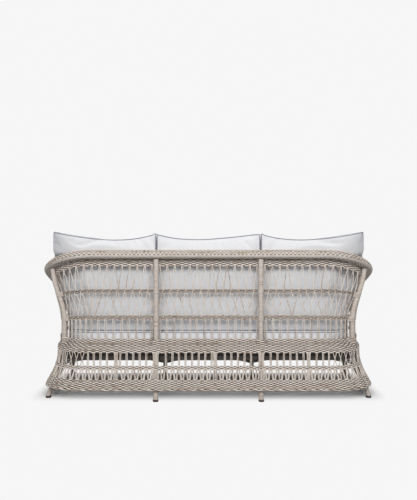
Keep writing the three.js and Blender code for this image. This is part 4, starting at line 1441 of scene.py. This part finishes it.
LOOP_STEP = 0.003
PRESS_ROOM = 0.003
CLOTH_FRAMES = 20


def even_line(points, count):
    """A line of points spaced evenly along another line."""
    length = lengths_so_far(points)
    at = np.linspace(0, length[-1], count)
    return np.stack([np.interp(at, length, points[:, axis]) for axis in range(3)], axis=1)


def soften_loop(edges, reach):
    """Rounds the corners of a loop of four edges and splits it at the corners again."""
    counts = [max(8, round(step_lengths(edge).sum() / LOOP_STEP)) for edge in edges]
    loop = np.concatenate([even_line(edge, count + 1)[:-1] for edge, count in zip(edges, counts)])
    window = round(reach / LOOP_STEP)
    shifts = range(-window, window + 1)
    rounded = sum(np.roll(loop, shift, axis=0) for shift in shifts) / len(shifts)
    cuts = np.cumsum([0, *counts])
    closed = np.concatenate([rounded, rounded[:1]])
    return [closed[start:end + 1] for start, end in zip(cuts[:-1], cuts[1:])], rounded


def patch(edges, columns, rows):
    """Fills a loop of four edges (bottom, right, top, left) with an even grid of points."""
    bottom = even_line(edges[0], columns + 1)
    right = even_line(edges[1], rows + 1)
    top = even_line(edges[2], columns + 1)[::-1]
    left = even_line(edges[3], rows + 1)[::-1]
    s = np.linspace(0, 1, columns + 1)[None, :, None]
    t = np.linspace(0, 1, rows + 1)[:, None, None]
    ruled = (1 - t) * bottom[None] + t * top[None] + (1 - s) * left[:, None] + s * right[:, None]
    corners = ((1 - s) * (1 - t) * bottom[0] + s * (1 - t) * bottom[-1]
               + (1 - s) * t * top[0] + s * t * top[-1])
    return ruled - corners


class CushionForm:
    """A closed cushion: two panels that face each other and a boxing strip between their seams."""

    def __init__(self, far_edges, near_edges, cell):
        self.far_edges, self.far_loop = far_edges
        self.near_edges, self.near_loop = near_edges
        spans = [step_lengths(edge).sum() for edge in self.near_edges]
        self.columns = max(4, round(spans[0] / cell))
        self.rows = max(4, round(spans[1] / cell))
        depth = np.linalg.norm(self.far_edges[0][0] - self.near_edges[0][0])
        self.layers = max(3, round(depth / cell))

    def build(self, name):
        columns, rows, layers = self.columns, self.rows, self.layers
        far, near = patch(self.far_edges, columns, rows), patch(self.near_edges, columns, rows)
        grid = np.arange((columns + 1) * (rows + 1)).reshape(rows + 1, columns + 1)
        near_grid = grid + grid.size
        ring = np.concatenate([grid[0, :-1], grid[:-1, -1], grid[-1, :0:-1], grid[:0:-1, 0]])
        far_ring, near_ring = far.reshape(-1, 3)[ring], near.reshape(-1, 3)[ring]
        points = [far.reshape(-1, 3), near.reshape(-1, 3)]
        levels = [ring]
        first = 2 * grid.size
        for layer in range(1, layers):
            points.append(lerp(far_ring, near_ring, layer / layers))
            levels.append(np.arange(len(ring)) + first)
            first += len(ring)
        levels.append(ring + grid.size)
        quads, uvs = [], []
        s, t = np.meshgrid(np.arange(columns), np.arange(rows))
        s, t = s.ravel(), t.ravel()
        width = np.linalg.norm(near[0, -1] - near[0, 0]) / columns
        height = np.linalg.norm(near[-1, 0] - near[0, 0]) / rows
        for sheet, corners in ((near_grid, ((0, 0), (0, 1), (1, 1), (1, 0))),
                               (grid, ((0, 0), (1, 0), (1, 1), (0, 1)))):
            quads.append(np.stack([sheet[t + dt, s + ds] for dt, ds in corners], axis=1))
            uvs.append(np.stack([np.stack([(s + ds) * width, (t + dt) * height], 1)
                                 for dt, ds in corners], 1))
        around = np.arange(len(ring))
        after = (around + 1) % len(ring)
        step = np.linalg.norm(far_ring - near_ring, axis=1).mean() / layers
        for layer in range(layers):
            low, high = levels[layer], levels[layer + 1]
            quads.append(np.stack([low[around], low[after], high[after], high[around]], axis=1))
            uvs.append(np.stack([
                np.stack([(around + du) * width, np.full(len(ring), (layer + dv) * step)], 1)
                for du, dv in ((0, 0), (1, 0), (1, 1), (0, 1))], 1))
        faces = np.concatenate(quads)
        mesh = bpy.data.meshes.new(name)
        fill_mesh(mesh, np.concatenate(points), faces.ravel(), np.full(len(faces), 4),
                  np.concatenate(uvs).reshape(-1, 2), "cloth")
        self.seam = np.concatenate([ring, ring + grid.size])
        return link_object(name, mesh)


def vertex_vectors(mesh, key):
    vectors = np.empty(len(mesh.vertices) * 3, np.float32)
    mesh.vertices.foreach_get(key, vectors)
    return vectors.reshape(-1, 3).astype(float)


def swell(cushion, seam, limit):
    """Swells a cushion as cloth that is held at its seams, each point moving at most the limit."""
    start = vertex_vectors(cushion.data, "co")
    swollen = simulate_cloth(cushion, seam)
    moved = swollen - start
    distance = np.linalg.norm(moved, axis=1, keepdims=True)
    moved *= limit * np.tanh(distance / limit) / np.maximum(distance, 1e-9)
    return start + moved


def simulate_cloth(cushion, seam):
    settings = bpy.context.scene.sofa_cushions
    group = cushion.vertex_groups.new(name="seam")
    group.add([int(index) for index in seam], 1.0, "REPLACE")
    cloth = cushion.modifiers.new("swelling", "CLOTH")
    cloth.settings.use_pressure = True
    cloth.settings.uniform_pressure_force = settings.pressure
    cloth.settings.vertex_group_mass = group.name
    cloth.settings.shrink_min = -settings.slack
    cloth.settings.effector_weights.gravity = 0
    cloth.collision_settings.use_collision = False
    cloth.point_cache.frame_start = 1
    cloth.point_cache.frame_end = CLOTH_FRAMES
    for moment in range(1, CLOTH_FRAMES + 1):
        bpy.context.scene.frame_set(moment)
    evaluated = cushion.evaluated_get(bpy.context.evaluated_depsgraph_get())
    swollen = vertex_vectors(evaluated.data, "co")
    cushion.modifiers.remove(cloth)
    bpy.context.scene.frame_set(1)
    return swollen


def soft_limit(value, limit):
    """Flattens what passes a limit, with a soft edge."""
    start = limit - PRESS_ROOM
    over = np.maximum(value - start, 0)
    return np.where(value > start, start + PRESS_ROOM * (1 - np.exp(-over / PRESS_ROOM)), value)


def press(points, axis, limit, side):
    """Flattens what swells past a plane that the cushion rests against."""
    points[:, axis] = soft_limit(points[:, axis] * side, limit * side) * side


def finish_cushion(cushion, points, form, place, kind):
    """Writes the swollen shape back, refines it and sews the piping on its two seams."""
    cushion.data.vertices.foreach_set("co", points.astype(np.float32).ravel())
    cushion.data.update()
    pick(cushion)
    smooth = cushion.modifiers.new("fine mesh", "SUBSURF")
    smooth.levels = smooth.render_levels = 1
    bpy.ops.object.modifier_apply(modifier=smooth.name)
    body = f"{kind}_{place}"
    settle(cushion, finish("cushion_cloth"), body, [f"{kind}_cushion_{place}"])
    piping = Strands(151)
    size = bpy.context.scene.sofa_cushions.piping
    centre = (form.far_loop.mean(axis=0) + form.near_loop.mean(axis=0)) / 2
    for loop in (form.far_loop, form.near_loop):
        line = loop[::2]
        piping.add(line, unit(line - centre), size, size, sides=8, closed=True, tone=0.5)
    sewn = piping.build(f"{kind}_pad_{place}_piping")
    settle(sewn, finish("cushion_piping"), body)


SEAM_INSET = 0.004
SEAT_SIDE_GAP = 0.041
SEAM_FROM_TOP = 0.006
SEAM_FROM_BOTTOM = 0.012
BACK_CROWN = 0.020
BACK_CORNER_RUN = 0.190
BACK_TOP_RUN = 0.310
BACK_SIDE_INSET = 0.074
BACK_SPREAD = 0.026
BACK_LEAN = 0.058
BACK_REAR_GAP = 0.003
CUSHION_GAP = 0.004
CUSHION_SPLIT = SEAT_HIGH.x + CUSHION_GAP / 2
SPLIT_CLEARANCE = 0.0006
FRONT_ROOM = 0.006
CUSHION_PLACES = ((0, "middle"), (-1, "left"), (1, "right"))


def mirrored(edges):
    """The same loop on the other hand, still running the same way round."""
    bottom, right, top, left = (edge * [-1, 1, 1] for edge in edges)
    return [bottom[::-1], left[::-1], top[::-1], right[::-1]]


class SOFA_OT_seat_cushions(bpy.types.Operator):
    """Sew and fill the three seat cushions"""

    bl_idname = "sofa.seat_cushions"
    bl_label = "Seat cushions"

    corner_reach = 0.018
    top_clearance = 0.0005

    def execute(self, context):
        for side, place in CUSHION_PLACES:
            self.make(side, place, context.scene.sofa_cushions)
        return {"FINISHED"}

    def outline(self, side, height):
        """Edges of a seam at a height, from the inner front corner; the sides follow the arms."""
        front = SEAT_LOW.y + SEAM_INSET
        rear = SEAT_HIGH.y - SEAM_INSET
        if side == 0:
            half = SEAT_HIGH.x - SEAM_INSET
            spots = [(-half, front), (half, front), (half, rear), (-half, rear), (-half, front)]
            return [np.array([(*spots[i], height), (*spots[i + 1], height)]) for i in range(4)]
        inner = CUSHION_SPLIT + CUSHION_GAP / 2 + SEAM_INSET
        gap = -SEAT_SIDE_GAP - SEAM_INSET
        split = STRAIGHT_HALF + CORNER_RUN / 2
        corner = plan_point(np.linspace(SIDE_END, split, 40), WAIST_LOW, gap)[0]
        rest = plan_point(np.linspace(split, STRAIGHT_HALF, 20), WAIST_LOW, gap)[0]
        corner[:, 2] = rest[:, 2] = height
        start = np.array([corner[0, 0], front, height])
        edges = [
            np.array([(inner, front, height), start]),
            np.concatenate([start[None], corner]),
            np.concatenate([rest, [(inner, rest[-1, 1], height)]]),
            np.array([(inner, rest[-1, 1], height), (inner, front, height)]),
        ]
        return edges if side > 0 else mirrored(edges)

    def make(self, side, place, settings):
        low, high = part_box(f"seat_cushion_{place}")
        bottom = soften_loop(self.outline(side, low.z + SEAM_FROM_BOTTOM), self.corner_reach)
        top = soften_loop(self.outline(side, high.z - SEAM_FROM_TOP), self.corner_reach)
        form = CushionForm(bottom, top, settings.cell)
        cushion = form.build(f"seat_pad_{place}")
        points = swell(cushion, form.seam, settings.seat_swell)
        press(points, 2, low.z, -1)
        press(points, 2, high.z - self.top_clearance, 1)
        press_between(points, side)
        press(points, 1, SEAT_LOW.y - FRONT_ROOM, -1)
        finish_cushion(cushion, points, form, place, "seat")


def press_between(points, side):
    """Keeps a cushion on its own side of the lines between the three seats."""
    if side == 0:
        press(points, 0, CUSHION_SPLIT - SPLIT_CLEARANCE, 1)
        press(points, 0, SPLIT_CLEARANCE - CUSHION_SPLIT, -1)
    else:
        press(points, 0, side * (CUSHION_SPLIT + SPLIT_CLEARANCE), -side)


class SOFA_OT_back_cushions(bpy.types.Operator):
    """Sew and fill the three back cushions"""

    bl_idname = "sofa.back_cushions"
    bl_label = "Back cushions"

    corner_reach = 0.014
    rim_pass = (0.845, 0.880)
    arm_pass = (0.76, 0.85)
    rear_lean = 0.006
    rear_lean_run = 0.03
    tops = {
        -1: (0.966, 0.38, 0.034, 2.4, 0.052, 1.5),
        0: (0.968, 0.58, 0.034, 1.4, 0.032, 2.6),
        1: (0.965, 0.40, 0.036, 2.4, 0.053, 1.4),
    }

    def execute(self, context):
        for side, place in CUSHION_PLACES:
            self.make(side, place, context.scene.sofa_cushions)
        return {"FINISHED"}

    def panel(self, side, near):
        """Edges of the rear panel (far) or the front panel (near), from the inner bottom corner."""
        bottom_z = BACK_LOW.z + SEAM_INSET
        share = np.linspace(0, 1, 40)
        top_z = self.top_line(side, share) - SEAM_INSET
        side_z = lerp(bottom_z, top_z[-1], share)
        edges = [
            self.spots(side, near, share, np.full(len(share), bottom_z)),
            self.spots(side, near, np.ones(len(share)), side_z),
            self.spots(side, near, share, top_z)[::-1],
            self.spots(side, near, np.zeros(len(share)), side_z)[::-1],
        ]
        return edges if side >= 0 else mirrored(edges)

    def spots(self, side, near, at, z):
        """Points of a panel at shares of its width, counted from its inner side, and at heights."""
        front_y, rear_y = BACK_LOW.y + BACK_CROWN, BACK_HIGH.y - BACK_CROWN
        if side == 0:
            half = CUSHION_SPLIT - CUSHION_GAP / 2 - SEAM_INSET
            y = front_y if near else rear_y
            return np.stack([lerp(-half, half, at), np.full(len(at), y), z], axis=1)
        inner = CUSHION_SPLIT + CUSHION_GAP / 2 + SEAM_INSET
        if near:
            x = lerp(inner, self.outer_x(z), at)
            return np.stack([x, np.full(len(at), front_y), z], axis=1)
        over_rim = smooth_share(z, *self.rim_pass)
        end = STRAIGHT_HALF + lerp(BACK_CORNER_RUN, BACK_TOP_RUN, over_rim)
        rear_out = -(ROLL_INSET + ROLL_WIDTH / 2 + BACK_REAR_GAP + BACK_CROWN)
        out = rear_out + BACK_LEAN * over_rim * at ** 2
        points = plan_point(lerp(inner, end, at), BACK_HEIGHT, out)[0].copy()
        points[:, 2] = z
        return points

    def top_line(self, side, share):
        """Height of the top seam: each cushion sags between its two ears in its own way."""
        sag, low_at, near_rise, near_power, far_rise, far_power = self.tops[side]
        near = np.clip(1 - share / low_at, 0, 1) ** near_power
        far = np.clip((share - low_at) / (1 - low_at), 0, 1) ** far_power
        return sag + near_rise * near + far_rise * far

    def outer_x(self, z):
        """Outer edge of the front panel: inside the arm below the rim, and wider above it."""
        half = plan_shape(np.full(len(z), CORNER_END), z)[0]
        spread = BACK_SPREAD * smooth_share(z, *self.arm_pass)
        return half - BACK_SIDE_INSET - SEAM_INSET + spread

    def make(self, side, place, settings):
        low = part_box(f"back_cushion_{place}")[0]
        rear = soften_loop(self.panel(side, False), self.corner_reach)
        front = soften_loop(self.panel(side, True), self.corner_reach)
        form = CushionForm(rear, front, settings.cell)
        cushion = form.build(f"back_pad_{place}")
        points = swell(cushion, form.seam, settings.back_swell)
        press(points, 2, low.z, -1)
        press_between(points, side)
        self.press_rear(points)
        self.press_top(points, side, rear[1])
        press(points, 1, low.y - FRONT_ROOM, -1)
        finish_cushion(cushion, points, form, place, "back")

    def press_top(self, points, side, seam):
        """Keeps the top strip from standing up over its rear seam."""
        if side == 0:
            along, inner, outer = points[:, 0], -CUSHION_SPLIT, CUSHION_SPLIT
        else:
            along, inner, outer = np.abs(points[:, 0]), CUSHION_SPLIT, np.abs(seam[:, 0]).max()
        share = np.clip((along - inner) / (outer - inner), 0, 1)
        points[:, 2] = soft_limit(points[:, 2], self.top_line(side, share) - SEAM_INSET)

    def press_rear(self, points):
        """Keeps the rear in front of the rim's inner side, and lets it lean over the rim above."""
        above_rim = smooth_share(points[:, 2], BACK_HEIGHT, BACK_HEIGHT + self.rear_lean_run)
        points[:, 1] = np.minimum(points[:, 1], BACK_HIGH.y + self.rear_lean * above_rim)


class SOFA_OT_studio(bpy.types.Operator):
    """Set the floor, the soft lamps and the camera at the photographed angle"""

    bl_idname = "sofa.studio"
    bl_label = "Studio"

    side_border = (0.99, 1.12)
    rear_border = (0.18, 0.42)
    front_border = (0.37, 0.40)
    # Painted shade: the floor's colour in bounced light under and round the sofa.
    painted_shade_bounce = 0.05
    lamps = (
        ("overhead_lamp", (0.0, 0.0, 3.8), (0.0, 0.0, 0.4), (4.0, 3.0), "overhead_power"),
        ("camera_side_lamp", (0.0, 3.8, 3.3), (0.0, 0.3, 0.4), (5.0, 2.0), "rear_power"),
        ("front_side_lamp", (0.0, -3.6, 3.4), (0.0, 0.0, 0.4), (5.0, 1.6), "front_power"),
    )

    def execute(self, context):
        settings = context.scene.sofa_studio
        self.make_floor(settings)
        self.make_world(context, settings)
        for name, place, target, size, power in self.lamps:
            self.make_lamp(name, place, target, size, getattr(settings, power))
        camera = bpy.data.objects.new("camera", bpy.data.cameras.new("camera"))
        context.scene.collection.objects.link(camera)
        camera.location = (0.0, settings.camera_distance, settings.camera_height)
        camera.rotation_euler = (math.pi / 2, 0.0, math.pi)
        camera.data.lens = settings.lens
        context.scene.camera = camera
        context.scene.view_settings.view_transform = "Standard"
        return {"FINISHED"}

    def make_floor(self, settings):
        bpy.ops.object.select_all(action="DESELECT")
        bpy.ops.mesh.primitive_plane_add(size=60.0, location=(0.0, 0.0, 0.0))
        floor = bpy.context.active_object
        floor.name = "floor"
        made = Finish("floor", roughness=0.9)
        made.set("Specular IOR Level", 0.0)
        seen, far = self.seen_share(made), self.open_share(made)
        # Painted shade: for rays other than the camera's, the floor round the sofa throws back far
        # less light, which darkens the sofa's undersides.
        under_sofa_shade, lit = (scaled(settings.backdrop, bounce)
                       for bounce in (self.painted_shade_bounce, settings.bounce))
        made.colour(made.blend(seen, made.blend(far, under_sofa_shade, lit), settings.backdrop))
        even = {"Color": (*settings.backdrop, 1), "Strength": 1.0}
        glow = made.add("ShaderNodeEmission", even)
        made.show("Material Output", made.math("MULTIPLY", far, seen), made.shader.outputs[0],
                  glow.outputs[0])
        floor.data.materials.append(made.material)

    def open_share(self, made):
        """Zero on the floor round the sofa, one past a soft border drawn round it; it masks the
        painted shade in the floor's bounce and the floor's even glow.
        """
        parts = made.add("ShaderNodeSeparateXYZ", {0: made.object_place()}).outputs
        aside = made.remap(made.math("ABSOLUTE", parts["X"]), *self.side_border)
        behind = made.remap(parts["Y"], *self.rear_border)
        ahead = made.remap(made.math("MULTIPLY", parts["Y"], -1.0), *self.front_border)
        along = made.math("MAXIMUM", behind, ahead)
        corner = made.add("ShaderNodeCombineXYZ", {"X": aside, "Y": along}).outputs[0]
        reach = made.add("ShaderNodeVectorMath", {0: corner}, operation="LENGTH").outputs["Value"]
        eased = made.add("ShaderNodeMapRange", {"Value": reach}, interpolation_type="SMOOTHSTEP")
        return eased.outputs[0]

    def seen_share(self, made):
        """One where a ray comes from the camera or from a glossy or clear surface."""
        path = made.add("ShaderNodeLightPath")
        seen = made.math("MAXIMUM", path.outputs["Is Camera Ray"], path.outputs["Is Glossy Ray"])
        return made.math("MAXIMUM", seen, path.outputs["Is Transmission Ray"])

    def make_world(self, context, settings):
        world = bpy.data.worlds.new("room")
        world.use_nodes = True
        context.scene.world = world
        made = NodeTree(world.node_tree)
        light = made.nodes["Background"]
        light.inputs["Color"].default_value = (1.0, 1.0, 1.0, 1.0)
        light.inputs["Strength"].default_value = settings.sky_strength
        even = {"Color": (*settings.backdrop, 1), "Strength": 1.0}
        shown = made.add("ShaderNodeBackground", even)
        made.show("World Output", self.seen_share(made), light.outputs[0], shown.outputs[0])

    def make_lamp(self, name, place, target, size, power):
        data = bpy.data.lights.new(name, "AREA")
        data.shape = "RECTANGLE"
        data.size, data.size_y = size
        data.energy = power
        lamp = bpy.data.objects.new(name, data)
        bpy.context.scene.collection.objects.link(lamp)
        lamp.location = place
        aim = np.array(target) - np.array(place)
        pitch = math.atan2(math.hypot(aim[0], aim[1]), -aim[2])
        lamp.rotation_euler = (pitch, 0.0, math.atan2(aim[1], aim[0]) - math.pi / 2)


PIECE_OPERATORS = (
    SOFA_OT_rolled_rim,
    SOFA_OT_arm_ends,
    SOFA_OT_wall_bands,
    SOFA_OT_waist_band,
    SOFA_OT_skirt_bands,
    SOFA_OT_front_apron,
    SOFA_OT_back_nets,
    SOFA_OT_skirt_nets,
    SOFA_OT_poles,
    SOFA_OT_bindings,
    SOFA_OT_foot_caps,
    SOFA_OT_seat_frame,
    SOFA_OT_seat_cushions,
    SOFA_OT_back_cushions,
    SOFA_OT_studio,
)

SETTINGS = (
    ("sofa_weave", WeaveSizes),
    ("sofa_net", NetSizes),
    ("sofa_poles", PoleSizes),
    ("sofa_cushions", CushionSizes),
    ("sofa_colours", SofaColours),
    ("sofa_studio", StudioSettings),
)


class SOFA_PT_pieces(bpy.types.Panel):
    """Lists the sofa's pieces and their sizes"""

    bl_label = "Wicker sofa"
    bl_idname = "SOFA_PT_pieces"
    bl_space_type = "VIEW_3D"
    bl_region_type = "UI"
    bl_category = "Sofa"

    def draw(self, context):
        for operator in PIECE_OPERATORS:
            self.layout.operator(operator.bl_idname)
        for name, group in SETTINGS:
            box = self.layout.box()
            box.label(text=group.__doc__)
            for key in group.__annotations__:
                box.prop(getattr(context.scene, name), key)


CLASSES = (*(group for _, group in SETTINGS), *PIECE_OPERATORS, SOFA_PT_pieces)


def register():
    for entry in CLASSES:
        bpy.utils.register_class(entry)
    for name, group in SETTINGS:
        setattr(bpy.types.Scene, name, PointerProperty(type=group))


def unregister():
    for name, _ in SETTINGS:
        delattr(bpy.types.Scene, name)
    for entry in reversed(CLASSES):
        bpy.utils.unregister_class(entry)


def run(operator):
    """Calls a piece's operator and stops if it doesn't finish."""
    family, name = operator.bl_idname.split(".")
    result = getattr(getattr(bpy.ops, family), name)()
    if result != {"FINISHED"}:
        raise RuntimeError(f"{operator.bl_label} wasn't built")


def main():
    register()
    for operator in PIECE_OPERATORS:
        run(operator)


if __name__ == "__main__":
    main()
